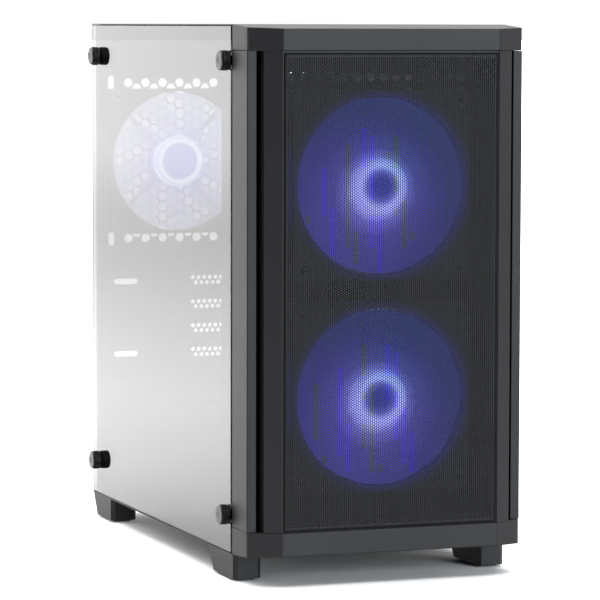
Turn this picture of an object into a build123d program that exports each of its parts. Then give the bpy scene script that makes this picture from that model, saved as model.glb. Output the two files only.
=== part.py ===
"""Desktop computer tower: a micro-ATX steel case with a mesh front, a glass side and a computer inside.

Drawn in millimetres with X to the right seen from the front, +Y to the back and +Z up. While drawing,
x = 0 is the middle of the case, y = 0 the flat of the front and z = 0 the floor. save() then shifts
every piece so that the origin is the bottom centre of the whole tower.
"""
import math
import os
from build123d import *

# ---------------------------------------------------------------- overall sizes
WIDTH = 216.8                # outside of the glass to outside of the steel side
HEIGHT = 411.0               # floor to roof
BODY_DEPTH = 407.2           # front of the mesh to the rear edge of the roof
FOOT_HEIGHT = 19.2
SHEET = 0.8                  # steel sheet
CLEAR = 0.3                  # gap between moving pieces and what they pass

# ---------------------------------------------------------------- front fascia
FASCIA_DEPTH = 45.4
CHAMFER_WIDE = 23.4          # the chamfer beside the flat front, seen from the front
CHAMFER_DEPTH = 12.2
PLASTIC = 2.6                # moulded wall
TOP_BAR_TALL = 19.2
TOP_BAR_DROP = 3.1           # the top bar's front edge is this much lower than the roof
BOTTOM_BAR_TALL = 21.3
BOTTOM_BAR_RISE = 3.7        # the bottom bar's front edge is this much higher than the feet's tops
PARTING = 0.4                # gap where two mouldings meet
PILLAR = 7.5                 # width of a pillar seen from the front
SLOT = 3.7                   # open slot between a pillar and the mesh frame
MESH_GAP = 0.4
MESH_SHEET = 0.8
MESH_TOP_GAP = 1.4
CLIP_X = 60.0
CLIP_RADIUS = 2.2

# ---------------------------------------------------------------- sides
GLASS = 4.0
GLASS_FRONT_GAP = 3.0
RAIL_INSET = 6.0             # side rails stand this far inside the overall width
RAIL_TALL = 20.0             # height of the rails along the roof and the floor
RAIL_FRONT = 33.0            # depth of the front side rail
RAIL_REAR = 12.0
SCREW_FROM_FASCIA = 9.1      # glass screws: behind the fascia, ahead of the rear edge,
SCREW_FROM_REAR = 19.7       # below the roof and above the underside of the floor
SCREW_FROM_TOP = 26.6
SCREW_FROM_FLOOR = 29.3
GLASS_HOLE = 4.0             # radius of a hole in the glass
SCREW_HEAD = 15.0            # diameter of a glass screw's head
SCREW_HEAD_DEEP = 7.5
SCREW_SHANK = 3.8            # M4 thread, drawn at its core with the head's shoulder
SCREW_PAST_RAIL = 2.4
SHROUD_INSET = 4.4           # the shroud's upright face stands this far inside the rails
GROMMET_RADIUS = 7.0
PANEL_LIP = 18.0             # rear lip of the steel side, behind the rear wall
SIDE_SCREW_HEAD = 12.0
SIDE_SCREW_DEEP = 8.0
SIDE_SCREW_INSET = 5.4       # from the outer face of the side rails
SIDE_SCREW_LOW = 95.0
SIDE_SCREW_FROM_TOP = 76.0

# ---------------------------------------------------------------- rear wall
REAR_WALL_INSET = 2.2        # inner face of the rear wall, ahead of the roof's rear edge
REAR_FAN_FROM_TRAY = 123.0
REAR_FAN_FROM_TOP = 114.0
GRILLE_RADIUS = 60.5
GRID_PITCH = 8.66            # fan grille hexagons, row to row
GRID_HOLE = 7.0
SLOT_PITCH = 20.32           # expansion slot spacing
TOP_SLOT_DROP = 176.1        # first slot below the board's top edge
SLOT_COUNT = 4
SLOT_LONG = 98.0
SLOT_FROM_BOARD = 3.4        # from the board's face to the slots
SLOT_OPEN = 12.6
BRACKET_GAP = 9.9            # from the slots to the slit for the covers' tabs
BRACKET_TAB = 11.4
IO_WIDE = 44.5
IO_TALL = 158.8
IO_DROP = 160.4              # rear socket opening's lower edge below the board's top edge

# ---------------------------------------------------------------- fans
FRONT_FAN = 140.0
FRONT_FAN_PITCH = 157.4
FRONT_FAN_FROM_TOP = 118.7
FRONT_BORE = 66.5
FRONT_HUB = 21.0
VENT_RADIUS = 3.5            # two rows of round vents above the front fans
VENT_PITCH = 10.4
VENT_ROW_PITCH = 11.5
VENT_DROP = 19.4             # upper row, below the top bar
VENT_WEB = 1.2               # least steel left between a vent and a fan's holes
REAR_FAN = 120.0
REAR_BORE = 58.3
REAR_HUB = 20.5
TIP_GAP = 1.2                # between a rotor and its duct
FAN_DEEP = 25.0
FRONT_SCREWS = 124.5
REAR_SCREWS = 105.0
FAN_SCREW_RADIUS = 2.0
FAN_HOLE_RADIUS = 2.2

# ---------------------------------------------------------------- board
TRAY_GAP = 16.4              # from the outer face of the side rails to the tray
TRAY_STANDOFF = 6.5
BOARD = 244.0
BOARD_THICK = 1.6
BOARD_REAR_GAP = 2.0
IO_EDGE = 0.5                # rear socket opening past the board's face
BOARD_FROM_TOP = 39.3
CPU_FROM_REAR = 108.0
CPU_FROM_TOP = 88.0
COOLER = 92.0
COOLER_TALL = 50.0           # top of the processor cooler above the board
COOLER_FAN_DEEP = 15.0

# ---------------------------------------------------------------- power supply
PSU_WIDE = 150.0
PSU_TALL = 86.0
PSU_DEEP = 140.0
PSU_FROM_TRAY = 6.0
PSU_LIFT = 4.0               # pads between the floor and the supply
PSU_SHELL = 1.0
PSU_FAN = 120.0
PSU_BORE = 57.5
PSU_HUB = 18.0
PSU_SCREW_X = 69.0           # screws in the back of the supply, from its middle
PSU_SCREW_Z = 32.0
SHROUD_GAP = 1.2
INLET_FROM_MIDDLE = 42.0
INLET_LIFT = 16.0
SWITCH_DROP = 18.0
ROCKER_LONG = 16.0
ROCKER_WIDE = 9.0
ROCKER_SWING = 8.0           # degrees to each side

# ---------------------------------------------------------------- roof
IO_STRIP_FROM_FASCIA = 18.6
IO_STRIP_LONG = 132.0
IO_STRIP_WIDE = 20.0
BUTTON_X = 40.0
BUTTON_RADIUS = 7.0
RESET_X = 20.0
RESET_RADIUS = 3.0
BUTTON_STOP = 2.85           # top of a button's collar below the roof
FILTER_INSET = 34.9          # roof filter's edges in from the sides
FILTER_FROM_FASCIA = 49.6
FILTER_FROM_REAR = 32.2
FILTER_THICK = 1.2
FILTER_RIM = 7.0
USB_X = (-25.0, -2.0)
JACK_X = (-56.0, -44.0)

# ---------------------------------------------------------------- feet and lower filter
FOOT_WIDE = 21.5
FOOT_PAD = 1.6
LOW_FILTER_WIDE = 130.0
LOW_FILTER_THICK = 2.4

# ---------------------------------------------------------------- worked out from the above
HALF = WIDTH / 2
FLOOR_Z = FOOT_HEIGHT + SHEET                # top of the floor plate
ROOF_Z = HEIGHT - SHEET                      # underside of the roof plate
RAIL = HALF - RAIL_INSET                     # outer face of the side rails
RAIL_TOP = ROOF_Z - RAIL_TALL - 0.2
RAIL_BOTTOM = FLOOR_Z + RAIL_TALL
FLAT_HALF = HALF - CHAMFER_WIDE              # half width of the flat front
TOP_BAR_LOW = HEIGHT - TOP_BAR_TALL
TOP_BAR_FRONT = HEIGHT - TOP_BAR_DROP
BOTTOM_BAR_HIGH = FOOT_HEIGHT + BOTTOM_BAR_TALL
BOTTOM_BAR_FRONT = FOOT_HEIGHT + BOTTOM_BAR_RISE
CHASSIS_FRONT = FASCIA_DEPTH                 # front face of the front plate
INSIDE_FRONT = CHASSIS_FRONT + SHEET
REAR_WALL_IN = BODY_DEPTH - REAR_WALL_INSET  # inner face of the rear wall
REAR_WALL_OUT = REAR_WALL_IN + SHEET
SCREW_FRONT_Y = FASCIA_DEPTH + SCREW_FROM_FASCIA
SCREW_REAR_Y = BODY_DEPTH - SCREW_FROM_REAR
SCREW_TOP_Z = HEIGHT - SCREW_FROM_TOP
SCREW_BOTTOM_Z = FOOT_HEIGHT + SCREW_FROM_FLOOR
SCREW_HOLE = SCREW_SHANK / 2 + CLEAR
SCREW_SHANK_LONG = RAIL_INSET + SHEET + SCREW_PAST_RAIL
SIDE_SCREW_X = RAIL - SIDE_SCREW_INSET
SIDE_SCREW_Z = (SIDE_SCREW_LOW, HEIGHT - SIDE_SCREW_FROM_TOP)
CHAMFER_SLOPE = CHAMFER_DEPTH / (HALF - FLAT_HALF)
FRONT_FAN_Z = (HEIGHT - FRONT_FAN_FROM_TOP, HEIGHT - FRONT_FAN_FROM_TOP - FRONT_FAN_PITCH)
FRONT_FAN_Y = CHASSIS_FRONT - FAN_DEEP
REAR_FAN_Y = REAR_WALL_IN - FAN_DEEP
REAR_FAN_Z = HEIGHT - REAR_FAN_FROM_TOP
TRAY_X = RAIL - TRAY_GAP                     # face of the tray that carries the board
REAR_FAN_X = TRAY_X - REAR_FAN_FROM_TRAY
BOARD_BACK = TRAY_X - TRAY_STANDOFF
BOARD_FACE = BOARD_BACK - BOARD_THICK
IO_RIGHT = BOARD_FACE + IO_EDGE
BOARD_REAR = REAR_WALL_IN - BOARD_REAR_GAP
BOARD_FRONT = BOARD_REAR - BOARD
BOARD_TOP = HEIGHT - BOARD_FROM_TOP
BOARD_BOTTOM = BOARD_TOP - BOARD
SLOT_Z = [BOARD_TOP - TOP_SLOT_DROP - SLOT_PITCH * i for i in range(SLOT_COUNT)]
SLOT_RIGHT = BOARD_FACE - SLOT_FROM_BOARD
SLOT_LEFT = SLOT_RIGHT - SLOT_LONG
BRACKET_SLIT_X = SLOT_LEFT - BRACKET_GAP
IO_BOTTOM = BOARD_TOP - IO_DROP
CPU_Y = BOARD_REAR - CPU_FROM_REAR
CPU_Z = BOARD_TOP - CPU_FROM_TOP
PSU_RIGHT = TRAY_X - PSU_FROM_TRAY
PSU_LEFT = PSU_RIGHT - PSU_WIDE
PSU_X = (PSU_LEFT + PSU_RIGHT) / 2
PSU_BOTTOM = FLOOR_Z + PSU_LIFT
PSU_TOP = PSU_BOTTOM + PSU_TALL
PSU_Z = PSU_BOTTOM + PSU_TALL / 2
PSU_FRONT = REAR_WALL_IN - PSU_DEEP
PSU_FAN_Y = PSU_FRONT + PSU_SHELL + 4 + PSU_FAN / 2
SHROUD_Z = PSU_TOP + SHROUD_GAP              # underside of the shroud
INLET_X = PSU_X + INLET_FROM_MIDDLE
INLET_Z = PSU_Z + INLET_LIFT
SWITCH_Z = PSU_Z - SWITCH_DROP
ROCKER_PIN_Y = REAR_WALL_IN - 1.0
IO_STRIP_Y = FASCIA_DEPTH + IO_STRIP_FROM_FASCIA
FILTER_X = HALF - FILTER_INSET
FILTER_FRONT = FASCIA_DEPTH + FILTER_FROM_FASCIA
FILTER_REAR = BODY_DEPTH - FILTER_FROM_REAR
LOW_FILTER_FRONT = PSU_FRONT - 10
LOW_FILTER_REAR = REAR_WALL_IN - 5
LOW_FILTER_Z = FOOT_HEIGHT - LOW_FILTER_THICK - CLEAR
PANEL_BACK = REAR_WALL_OUT + 0.2 + SHEET     # rear face of the steel side's lip
REAR_MOST = PANEL_BACK + SIDE_SCREW_DEEP

# the origin is the bottom centre of everything, thumbscrews included
SHIFT = Pos(SCREW_HEAD_DEEP / 2, -REAR_MOST / 2, 0)

os.makedirs("parts", exist_ok=True)


# ---------------------------------------------------------------- helpers
def save(name, shape):
    """Write one piece, or a list of separate solids, to its own file."""
    if isinstance(shape, (list, tuple)):
        shape = Compound([solid for item in shape for solid in item.solids()])
    export_step(SHIFT * shape, f"parts/{name}.step")


def block(x0, x1, y0, y1, z0, z1):
    """A box between two corners."""
    size = (abs(x1 - x0), abs(y1 - y0), abs(z1 - z0))
    return Pos((x0 + x1) / 2, (y0 + y1) / 2, (z0 + z1) / 2) * Box(*size)


def across(y):
    """A plane at depth y, seen from the front: local x is X, local y is Z, and it faces the back."""
    return Plane(origin=(0, y, 0), x_dir=(1, 0, 0), z_dir=(0, -1, 0))


def beside(x):
    """A plane at x: local x is Y and local y is Z, and it faces +X."""
    return Plane(origin=(x, 0, 0), x_dir=(0, 1, 0), z_dir=(1, 0, 0))


def level(z):
    """A plane at height z: local x is X and local y is Y."""
    return Plane.XY.offset(z)


def rect_wire(x0, x1, y0, y1):
    return Wire.make_polygon([(x0, y0), (x1, y0), (x1, y1), (x0, y1)])


def round_wire(x, y, radius):
    return Pos(x, y) * Wire.make_circle(radius)


def hex_wire(x, y, flats):
    """A hexagon standing on a point's side: its flats are left and right."""
    radius = flats / math.sqrt(3)
    turns = [math.radians(60 * i) for i in range(6)]
    return Wire.make_polygon([(x + radius * math.cos(t), y + radius * math.sin(t)) for t in turns])


def slot_wire(x, y, long, wide):
    """A round-ended slot lying along local x, or along local y where wide is the longer."""
    if long > wide:
        return Pos(x, y) * SlotOverall(long, wide).wire()
    return Pos(x, y) * Rot(0, 0, 90) * SlotOverall(wide, long).wire()


def sheet(plane, outline, holes, thick):
    """A flat plate drawn on a plane: an outline with holes, thickened along the plane's normal."""
    face = Face(plane * outline, [plane * hole for hole in holes])
    return Solid.extrude(face, plane.z_dir * thick)


def rod(plane, x, y, radius, start, end, bore=0.0):
    """A round bar or tube square to a plane, from start to end along its normal."""
    body = Cylinder(radius, end - start, align=(Align.CENTER, Align.CENTER, Align.MIN))
    if bore:
        body -= Cylinder(bore, end - start, align=(Align.CENTER, Align.CENTER, Align.MIN))
    return plane * Pos(x, y, start) * body


def corners(pitch):
    """The four corners of a square of screws about a centre."""
    return [(sx * pitch / 2, sz * pitch / 2) for sx in (-1, 1) for sz in (-1, 1)]


def mirrored(shape):
    return shape.mirror(Plane.YZ)


def fitting(length, first, pitch):
    """How many places at a pitch fit on a length, the first and the last this far from its ends."""
    return int((length - 2 * first) / pitch + 0.01) + 1


def psu_screw_places():
    """The four screws in the back of the power supply."""
    return [(PSU_X + sx * PSU_SCREW_X, PSU_Z + sz * PSU_SCREW_Z) for sx in (-1, 1) for sz in (-1, 1)]


# ---------------------------------------------------------------- chassis plates
def honeycomb(x, z, radius, strip_half, strip_tall):
    """Hexagons in a disc and a centred upright strip, on staggered columns."""
    column = GRID_PITCH * math.sqrt(3) / 2
    holes = []
    reach = int(radius / column) + 1
    for i in range(-reach, reach + 1):
        dx = i * column
        lift = GRID_PITCH / 2 if i % 2 else 0.0
        for j in range(-9, 9):
            dz = j * GRID_PITCH + lift
            edge = math.hypot(dx, dz) + GRID_HOLE / 2
            in_strip = abs(dx) <= strip_half and abs(dz) <= strip_tall
            if edge <= radius or in_strip:
                holes.append(hex_wire(x + dx, z + dz, GRID_HOLE))
    return holes


def rear_wall():
    holes = honeycomb(REAR_FAN_X, REAR_FAN_Z, GRILLE_RADIUS, 38.5, 65.2)
    for side in (-1, 1):
        for lift in (-1, 1):
            middle = REAR_FAN_Z + lift * 59.0
            holes.append(slot_wire(REAR_FAN_X + side * REAR_SCREWS / 2, middle, 5.0, 24.0))
    for z in (SLOT_Z[0], SLOT_Z[-1]):
        holes.append(slot_wire(REAR_FAN_X - 40.0, z, 20.5, 4.8))
    slit_low = SLOT_Z[-1] - 13.4
    slit_high = SLOT_Z[0] + 17.6
    holes.append(rect_wire(BRACKET_SLIT_X - 1.2, BRACKET_SLIT_X + 0.6, slit_low, slit_high))
    for z in SLOT_Z:
        holes.append(rect_wire(SLOT_LEFT, SLOT_RIGHT, z - SLOT_OPEN / 2, z + SLOT_OPEN / 2))
    holes.append(rect_wire(IO_RIGHT - IO_WIDE, IO_RIGHT, IO_BOTTOM, IO_BOTTOM + IO_TALL))
    open_x = PSU_WIDE / 2 - 13
    open_z = PSU_TALL / 2 - 6
    holes.append(rect_wire(PSU_X - open_x, PSU_X + open_x, PSU_Z - open_z, PSU_Z + open_z))
    holes += [round_wire(x, z, FAN_HOLE_RADIUS) for x, z in psu_screw_places()]
    holes += [round_wire(SIDE_SCREW_X, z, SCREW_HOLE) for z in SIDE_SCREW_Z]
    wall = sheet(across(REAR_WALL_OUT), rect_wire(-RAIL, RAIL, FLOOR_Z, ROOF_Z), holes, SHEET)
    # notches in the bracket shelf, two beside each slot
    ticks = [rect_wire(BRACKET_SLIT_X, BRACKET_SLIT_X + 8, z + s * 5.9 - 0.9, z + s * 5.9 + 0.9)
             for z in SLOT_Z for s in (-1, 1)]
    for tick in ticks:
        wall -= Solid.extrude(Face(across(REAR_WALL_OUT + 1) * tick), (0, -3, 0))
    shelf_x = BRACKET_SLIT_X + 0.6
    shelf = block(shelf_x, shelf_x + SHEET, REAR_WALL_OUT, REAR_WALL_OUT + 6, slit_low, slit_high)
    for z in SLOT_Z:
        shelf -= rod(beside(shelf_x - 1), REAR_WALL_OUT + 3.2, z, 1.5, 0, 4)
    wall += shelf
    for side in (-1, 1):
        inner = side * (RAIL - SHEET)
        wall += block(side * RAIL, inner, REAR_WALL_IN - RAIL_REAR, REAR_WALL_IN, RAIL_BOTTOM, RAIL_TOP)
        for z in (SCREW_TOP_Z, SCREW_BOTTOM_Z):
            low = max(RAIL_BOTTOM, z - 9)
            high = min(RAIL_TOP, z + 9)
            tab = block(side * RAIL, inner, SCREW_REAR_Y - 8.5, REAR_WALL_IN - RAIL_REAR, low, high)
            tab -= rod(beside(side * RAIL - 2), SCREW_REAR_Y, z, SCREW_HOLE, 0, 4)
            wall += tab
    return wall


def front_plate():
    holes = []
    for z in FRONT_FAN_Z:
        holes.append(round_wire(0, z, FRONT_BORE + 0.5))
        holes += [round_wire(x, z + dz, FAN_HOLE_RADIUS) for x, dz in corners(FRONT_SCREWS)]
    taken = [(0, z, FRONT_BORE + 0.5) for z in FRONT_FAN_Z]
    taken += [(x, z + dz, FAN_HOLE_RADIUS) for z in FRONT_FAN_Z for x, dz in corners(FRONT_SCREWS)]
    for row in (TOP_BAR_LOW - VENT_DROP, TOP_BAR_LOW - VENT_DROP - VENT_ROW_PITCH):
        for i in range(-7, 8):
            x = i * VENT_PITCH
            gaps = [math.hypot(x - cx, row - cz) - radius for cx, cz, radius in taken]
            if min(gaps) > VENT_RADIUS + VENT_WEB:
                holes.append(round_wire(x, row, VENT_RADIUS))
    for x in (-CLIP_X, CLIP_X):
        holes.append(round_wire(x, TOP_BAR_LOW + 8, CLIP_RADIUS + 0.4))
        holes.append(round_wire(x, BOTTOM_BAR_HIGH - 10, CLIP_RADIUS + 0.4))
    holes.append(slot_wire(TRAY_X + 4, HEIGHT - 111, 8, 60))
    plate = sheet(across(INSIDE_FRONT), rect_wire(-RAIL, RAIL, FLOOR_Z, ROOF_Z), holes, SHEET)
    for side in (-1, 1):
        rail_end = INSIDE_FRONT + RAIL_FRONT
        rail = block(side * RAIL, side * (RAIL - SHEET), INSIDE_FRONT, rail_end, RAIL_BOTTOM, RAIL_TOP)
        for z in (SCREW_TOP_Z, SCREW_BOTTOM_Z):
            rail -= rod(beside(side * RAIL - 2), SCREW_FRONT_Y, z, SCREW_HOLE, 0, 4)
        plate += rail
    return plate


def roof():
    """Roof plate with a sunk pan for the dust filter and a cut-out for the socket strip."""
    pan_x = FILTER_X + 1.5
    pan = (FILTER_FRONT - 1.5, FILTER_REAR + 1.5)
    strip = rect_wire(-IO_STRIP_LONG / 2 - CLEAR, IO_STRIP_LONG / 2 + CLEAR,
                      IO_STRIP_Y - IO_STRIP_WIDE / 2 - CLEAR, IO_STRIP_Y + IO_STRIP_WIDE / 2 + CLEAR)
    holes = [strip, rect_wire(-pan_x, pan_x, *pan)]
    front_edge = FASCIA_DEPTH + 0.2
    plate = sheet(level(ROOF_Z), rect_wire(-HALF, HALF, front_edge, BODY_DEPTH), holes, SHEET)
    pan_z = HEIGHT - FILTER_THICK - SHEET
    columns = fitting(2 * FILTER_X, 21, 35)
    rows = fitting(FILTER_REAR - FILTER_FRONT, 12, 8)
    vents = [slot_wire(35 * (i - (columns - 1) / 2), FILTER_FRONT + 12 + 8 * j, 28, 4)
             for i in range(columns) for j in range(rows)]
    sunk = rect_wire(-pan_x - SHEET, pan_x + SHEET, pan[0] - SHEET, pan[1] + SHEET)
    plate += sheet(level(pan_z), sunk, vents, SHEET)
    wall = sheet(level(pan_z), sunk, [rect_wire(-pan_x, pan_x, *pan)], HEIGHT - pan_z)
    plate += wall
    for side in (-1, 1):
        plate += block(side * RAIL, side * (RAIL - SHEET), INSIDE_FRONT, REAR_WALL_IN, RAIL_TOP, ROOF_Z)
    return plate


def floor_plate():
    """Floor with the supply's air vent, its pads, and guides for the slide-out filter below."""
    vents = [hex_wire(PSU_X - 52 + 8 * i, PSU_FRONT + 18 + 9.2 * j + 4.6 * (i % 2), GRID_HOLE)
             for i in range(14) for j in range(12)]
    outline = rect_wire(-HALF, HALF, FASCIA_DEPTH + 0.2, BODY_DEPTH)
    plate = sheet(level(FOOT_HEIGHT), outline, vents, SHEET)
    for side in (-1, 1):
        plate += block(side * RAIL, side * (RAIL - SHEET), INSIDE_FRONT, REAR_WALL_IN, FLOOR_Z, RAIL_BOTTOM)
        pad_x = PSU_X + side * 66
        plate += block(pad_x - 5, pad_x + 5, PSU_FRONT + 5, REAR_WALL_IN - 5, FLOOR_Z, PSU_BOTTOM)
        guide_x = PSU_X + side * (LOW_FILTER_WIDE / 2 + CLEAR)
        guide_end = guide_x + side * 1.2
        low = LOW_FILTER_Z - 1.2
        front = LOW_FILTER_FRONT - 5
        rear = LOW_FILTER_REAR - 2
        plate += block(guide_x, guide_end, front, rear, low, FOOT_HEIGHT)
        plate += block(guide_x - side * 4, guide_end, front, rear, low, low + 1.0)
    return plate


def board_tray():
    holes = [rect_wire(CPU_Y - 50, CPU_Y + 50, CPU_Z - 50, CPU_Z + 50)]
    holes += [slot_wire(BOARD_FRONT - 22, BOARD_BOTTOM + 32.3 + 80 * i, 22, 56) for i in range(3)]
    holes += [slot_wire(BOARD_FRONT + 61 + 120 * i, BOARD_TOP + 14, 50, 10) for i in range(2)]
    holes.append(slot_wire(PSU_FRONT - 155, FLOOR_Z + 40, 50, 24))
    outline = rect_wire(INSIDE_FRONT, REAR_WALL_IN, FLOOR_Z, HEIGHT - FILTER_THICK - SHEET - 0.2)
    return sheet(beside(TRAY_X), outline, holes, SHEET)


def shroud():
    """Cover over the power supply: a lid and an upright face behind the glass."""
    face_x = -(RAIL - SHROUD_INSET)
    vents = [slot_wire(PSU_X - 65 + 14 * i, PSU_FRONT - 50, 4, 60) for i in range(8)]
    lid = sheet(level(SHROUD_Z), rect_wire(face_x, TRAY_X, INSIDE_FRONT, REAR_WALL_IN), vents, SHEET)
    return lid + block(face_x, face_x + SHEET, INSIDE_FRONT, REAR_WALL_IN, FLOOR_Z, SHROUD_Z)


save("chassis_rear", rear_wall())
save("chassis_front", front_plate())
save("chassis_top", roof())
save("chassis_bottom", floor_plate())
save("motherboard_tray", board_tray())
save("psu_shroud", shroud())


# ---------------------------------------------------------------- feet
def foot(y_low, y_high, lean_back):
    """A tapered foot: long at the top and shorter at the ground, flush with the case's left side."""
    top = FOOT_HEIGHT
    profile = [(y_low, FOOT_PAD), (y_high, FOOT_PAD), (y_high + lean_back, top), (y_low, top)]
    side = Wire.make_polygon([(0, y, z) for y, z in profile])
    body = Solid.extrude(Face(Pos(-HALF, 0, 0) * side), (FOOT_WIDE, 0, 0))
    outer_edges = body.edges().filter_by(Axis.Z).group_by(Axis.Y)[0]
    return chamfer(outer_edges, 3.0)


def feet_and_pads():
    feet = []
    pads = []
    front_foot = (FASCIA_DEPTH - 5, FASCIA_DEPTH + 42.6, 12.0)
    rear_foot = (BODY_DEPTH - 54.2, BODY_DEPTH - 13.2, 11.0)
    for y_low, y_high, lean in (front_foot, rear_foot):
        for side in (-1, 1):
            body = foot(y_low, y_high, lean)
            pad = block(-HALF + 4, -HALF + FOOT_WIDE - 4, y_low + 5, y_high - 3, 0, FOOT_PAD)
            feet.append(body if side < 0 else mirrored(body))
            pads.append(pad if side < 0 else mirrored(pad))
    return feet, pads


feet_list, pad_list = feet_and_pads()
save("feet", feet_list)
save("foot_pads", pad_list)


# ---------------------------------------------------------------- front fascia
def plan_outline(inset=0.0):
    """The fascia seen from above, optionally pulled in by a wall, and then open at the back."""
    back = FASCIA_DEPTH if not inset else FASCIA_DEPTH + 3 * inset
    points = [(-HALF, back), (-HALF, CHAMFER_DEPTH), (-FLAT_HALF, 0),
              (FLAT_HALF, 0), (HALF, CHAMFER_DEPTH), (HALF, back)]
    face = Face(Wire.make_polygon(points))
    return offset(face, -inset, kind=Kind.INTERSECTION) if inset else face


def bar(flat_z, front_z, rear_z):
    """A hollow bar across the front, flat on one side and sloping on the other, open at the back."""
    slope = (rear_z - front_z) / FASCIA_DEPTH
    out = 1 if front_z > flat_z else -1

    def side_profile(inset):
        back = FASCIA_DEPTH + 3 * inset
        flat = flat_z + out * inset
        sloped = front_z - out * inset
        points = [(inset, flat), (back, flat), (back, sloped + slope * back), (inset, sloped + slope * inset)]
        return Solid.extrude(Face(beside(-HALF - 1) * Wire.make_polygon(points)), (2 * HALF + 2, 0, 0))

    def plan_block(inset):
        low = min(flat_z, front_z, rear_z) - 2
        tall = abs(rear_z - flat_z) + 4
        return extrude(Pos(0, 0, low) * plan_outline(inset), tall, dir=(0, 0, 1))

    shell = plan_block(0) & side_profile(0)
    shell -= plan_block(PLASTIC) & side_profile(PLASTIC)
    return shell


def mesh_tabs(seam, grow=0.0):
    """Tabs of the mesh frame that reach through the edge of a bar; grown, they cut its slots."""
    low = seam - 6 - grow
    high = seam + 6 + grow
    return [block(x - 8 - grow, x + 8 + grow, PLASTIC + 0.4 - grow, PLASTIC + 1.8 + grow, low, high)
            for x in (-40, 0, 40)]


def clips(z):
    """Two ribs with a push-in clip each, which hold the fascia to the chassis."""
    pieces = []
    for x in (-CLIP_X, CLIP_X):
        rib = block(x - 3, x + 3, PLASTIC, CHASSIS_FRONT, z - 4, z + 4)
        post = rod(across(CHASSIS_FRONT + 5), x, z, CLIP_RADIUS, 0, 6)
        pieces.append(rib + post)
    return pieces


def top_bar():
    piece = bar(TOP_BAR_LOW, TOP_BAR_FRONT, HEIGHT)
    for clip in clips(TOP_BAR_LOW + 8):
        piece += clip
    for x in (-FLAT_HALF - 5, FLAT_HALF + 5):
        piece += block(x - 1.5, x + 1.5, PLASTIC + 8, FASCIA_DEPTH, TOP_BAR_LOW + 1, TOP_BAR_FRONT - 1)
    return piece - mesh_tabs(TOP_BAR_LOW, 0.2)


def bottom_bar():
    piece = bar(BOTTOM_BAR_HIGH, BOTTOM_BAR_FRONT, FOOT_HEIGHT + 0.2)
    for clip in clips(BOTTOM_BAR_HIGH - 10):
        piece += clip
    return piece - mesh_tabs(BOTTOM_BAR_HIGH, 0.2)


def pillar():
    """The right upright: a channel with its open side to the back."""
    inner = HALF - PILLAR
    points = [(inner, FASCIA_DEPTH), (inner, CHAMFER_DEPTH), (HALF, CHAMFER_DEPTH), (HALF, FASCIA_DEPTH),
              (HALF - 2.5, FASCIA_DEPTH), (HALF - 2.5, CHAMFER_DEPTH + 2.5),
              (inner + 2, CHAMFER_DEPTH + 2.5), (inner + 2, FASCIA_DEPTH)]
    face = Face(level(BOTTOM_BAR_HIGH + PARTING) * Wire.make_polygon(points))
    return Solid.extrude(face, (0, 0, TOP_BAR_LOW - BOTTOM_BAR_HIGH - 2 * PARTING))


def mesh_frame():
    """Frame round the mesh: two uprights on the chamfers with deep inner walls, and two rails."""
    edge = HALF - PILLAR - SLOT
    lip = FLAT_HALF - 3.6
    wall = 2.0
    hem = 0.1
    low = BOTTOM_BAR_HIGH + PARTING
    high = TOP_BAR_LOW - PARTING
    slope_y = (edge - FLAT_HALF) * CHAMFER_SLOPE
    back = FASCIA_DEPTH - 5
    seat = MESH_SHEET + hem
    points = [(FLAT_HALF - 0.2, 0), (FLAT_HALF, 0), (edge, slope_y), (edge, back), (edge - wall, back),
              (edge - wall, slope_y + 2), (FLAT_HALF - 0.2, 3.0), (lip, 3.0), (lip, seat),
              (FLAT_HALF - 0.2, seat)]
    upright = Solid.extrude(Face(level(low) * Wire.make_polygon(points)), (0, 0, high - low))
    frame = upright + mirrored(upright)
    frame += block(-lip, lip, seat, 3.0, low, low + 3.5)
    frame += block(-lip, lip, seat, 3.0, high - 4.5, high)
    for tab in mesh_tabs(TOP_BAR_LOW) + mesh_tabs(BOTTOM_BAR_HIGH):
        frame += tab
    return frame


right_pillar = pillar()
save("front_top_bar", top_bar())
save("front_bottom_bar", bottom_bar())
save("front_pillar_right", right_pillar)
save("front_pillar_left", mirrored(right_pillar))
save("mesh_frame", mesh_frame())
mesh_x = FLAT_HALF - 0.2 - MESH_GAP
mesh_low = BOTTOM_BAR_HIGH + 0.5
save("front_mesh", block(-mesh_x, mesh_x, 0, MESH_SHEET, mesh_low, TOP_BAR_LOW - MESH_TOP_GAP))


# ---------------------------------------------------------------- fans
def fan_frame(size, deep, bore, pitch, hub):
    """Square fan body, front at local z = 0: two flanges, a duct, corner posts, and struts to the motor."""
    flange = 3.5
    wall = min(2.0, size / 2 - bore - 0.2)
    holes = [round_wire(x, y, FAN_HOLE_RADIUS) for x, y in corners(pitch)]
    outline = RectangleRounded(size, size, 6).wire()
    body = None
    for z in (0, deep - flange):
        plate = sheet(level(z), outline, holes + [round_wire(0, 0, bore)], flange)
        body = plate if body is None else body + plate
    body += rod(Plane.XY, 0, 0, bore + wall, 0, deep, bore)
    for x, y in corners(pitch):
        body += rod(Plane.XY, x, y, FAN_HOLE_RADIUS + 2.0, flange, deep - flange, FAN_HOLE_RADIUS)
    body += rod(Plane.XY, 0, 0, hub, deep - 2.5, deep)
    for i in range(4):
        strut = block(hub - 2, bore + wall / 2, -2, 2, deep - 2.5, deep)
        body += Rot(0, 0, 45 + 90 * i) * strut
    return body


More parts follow.
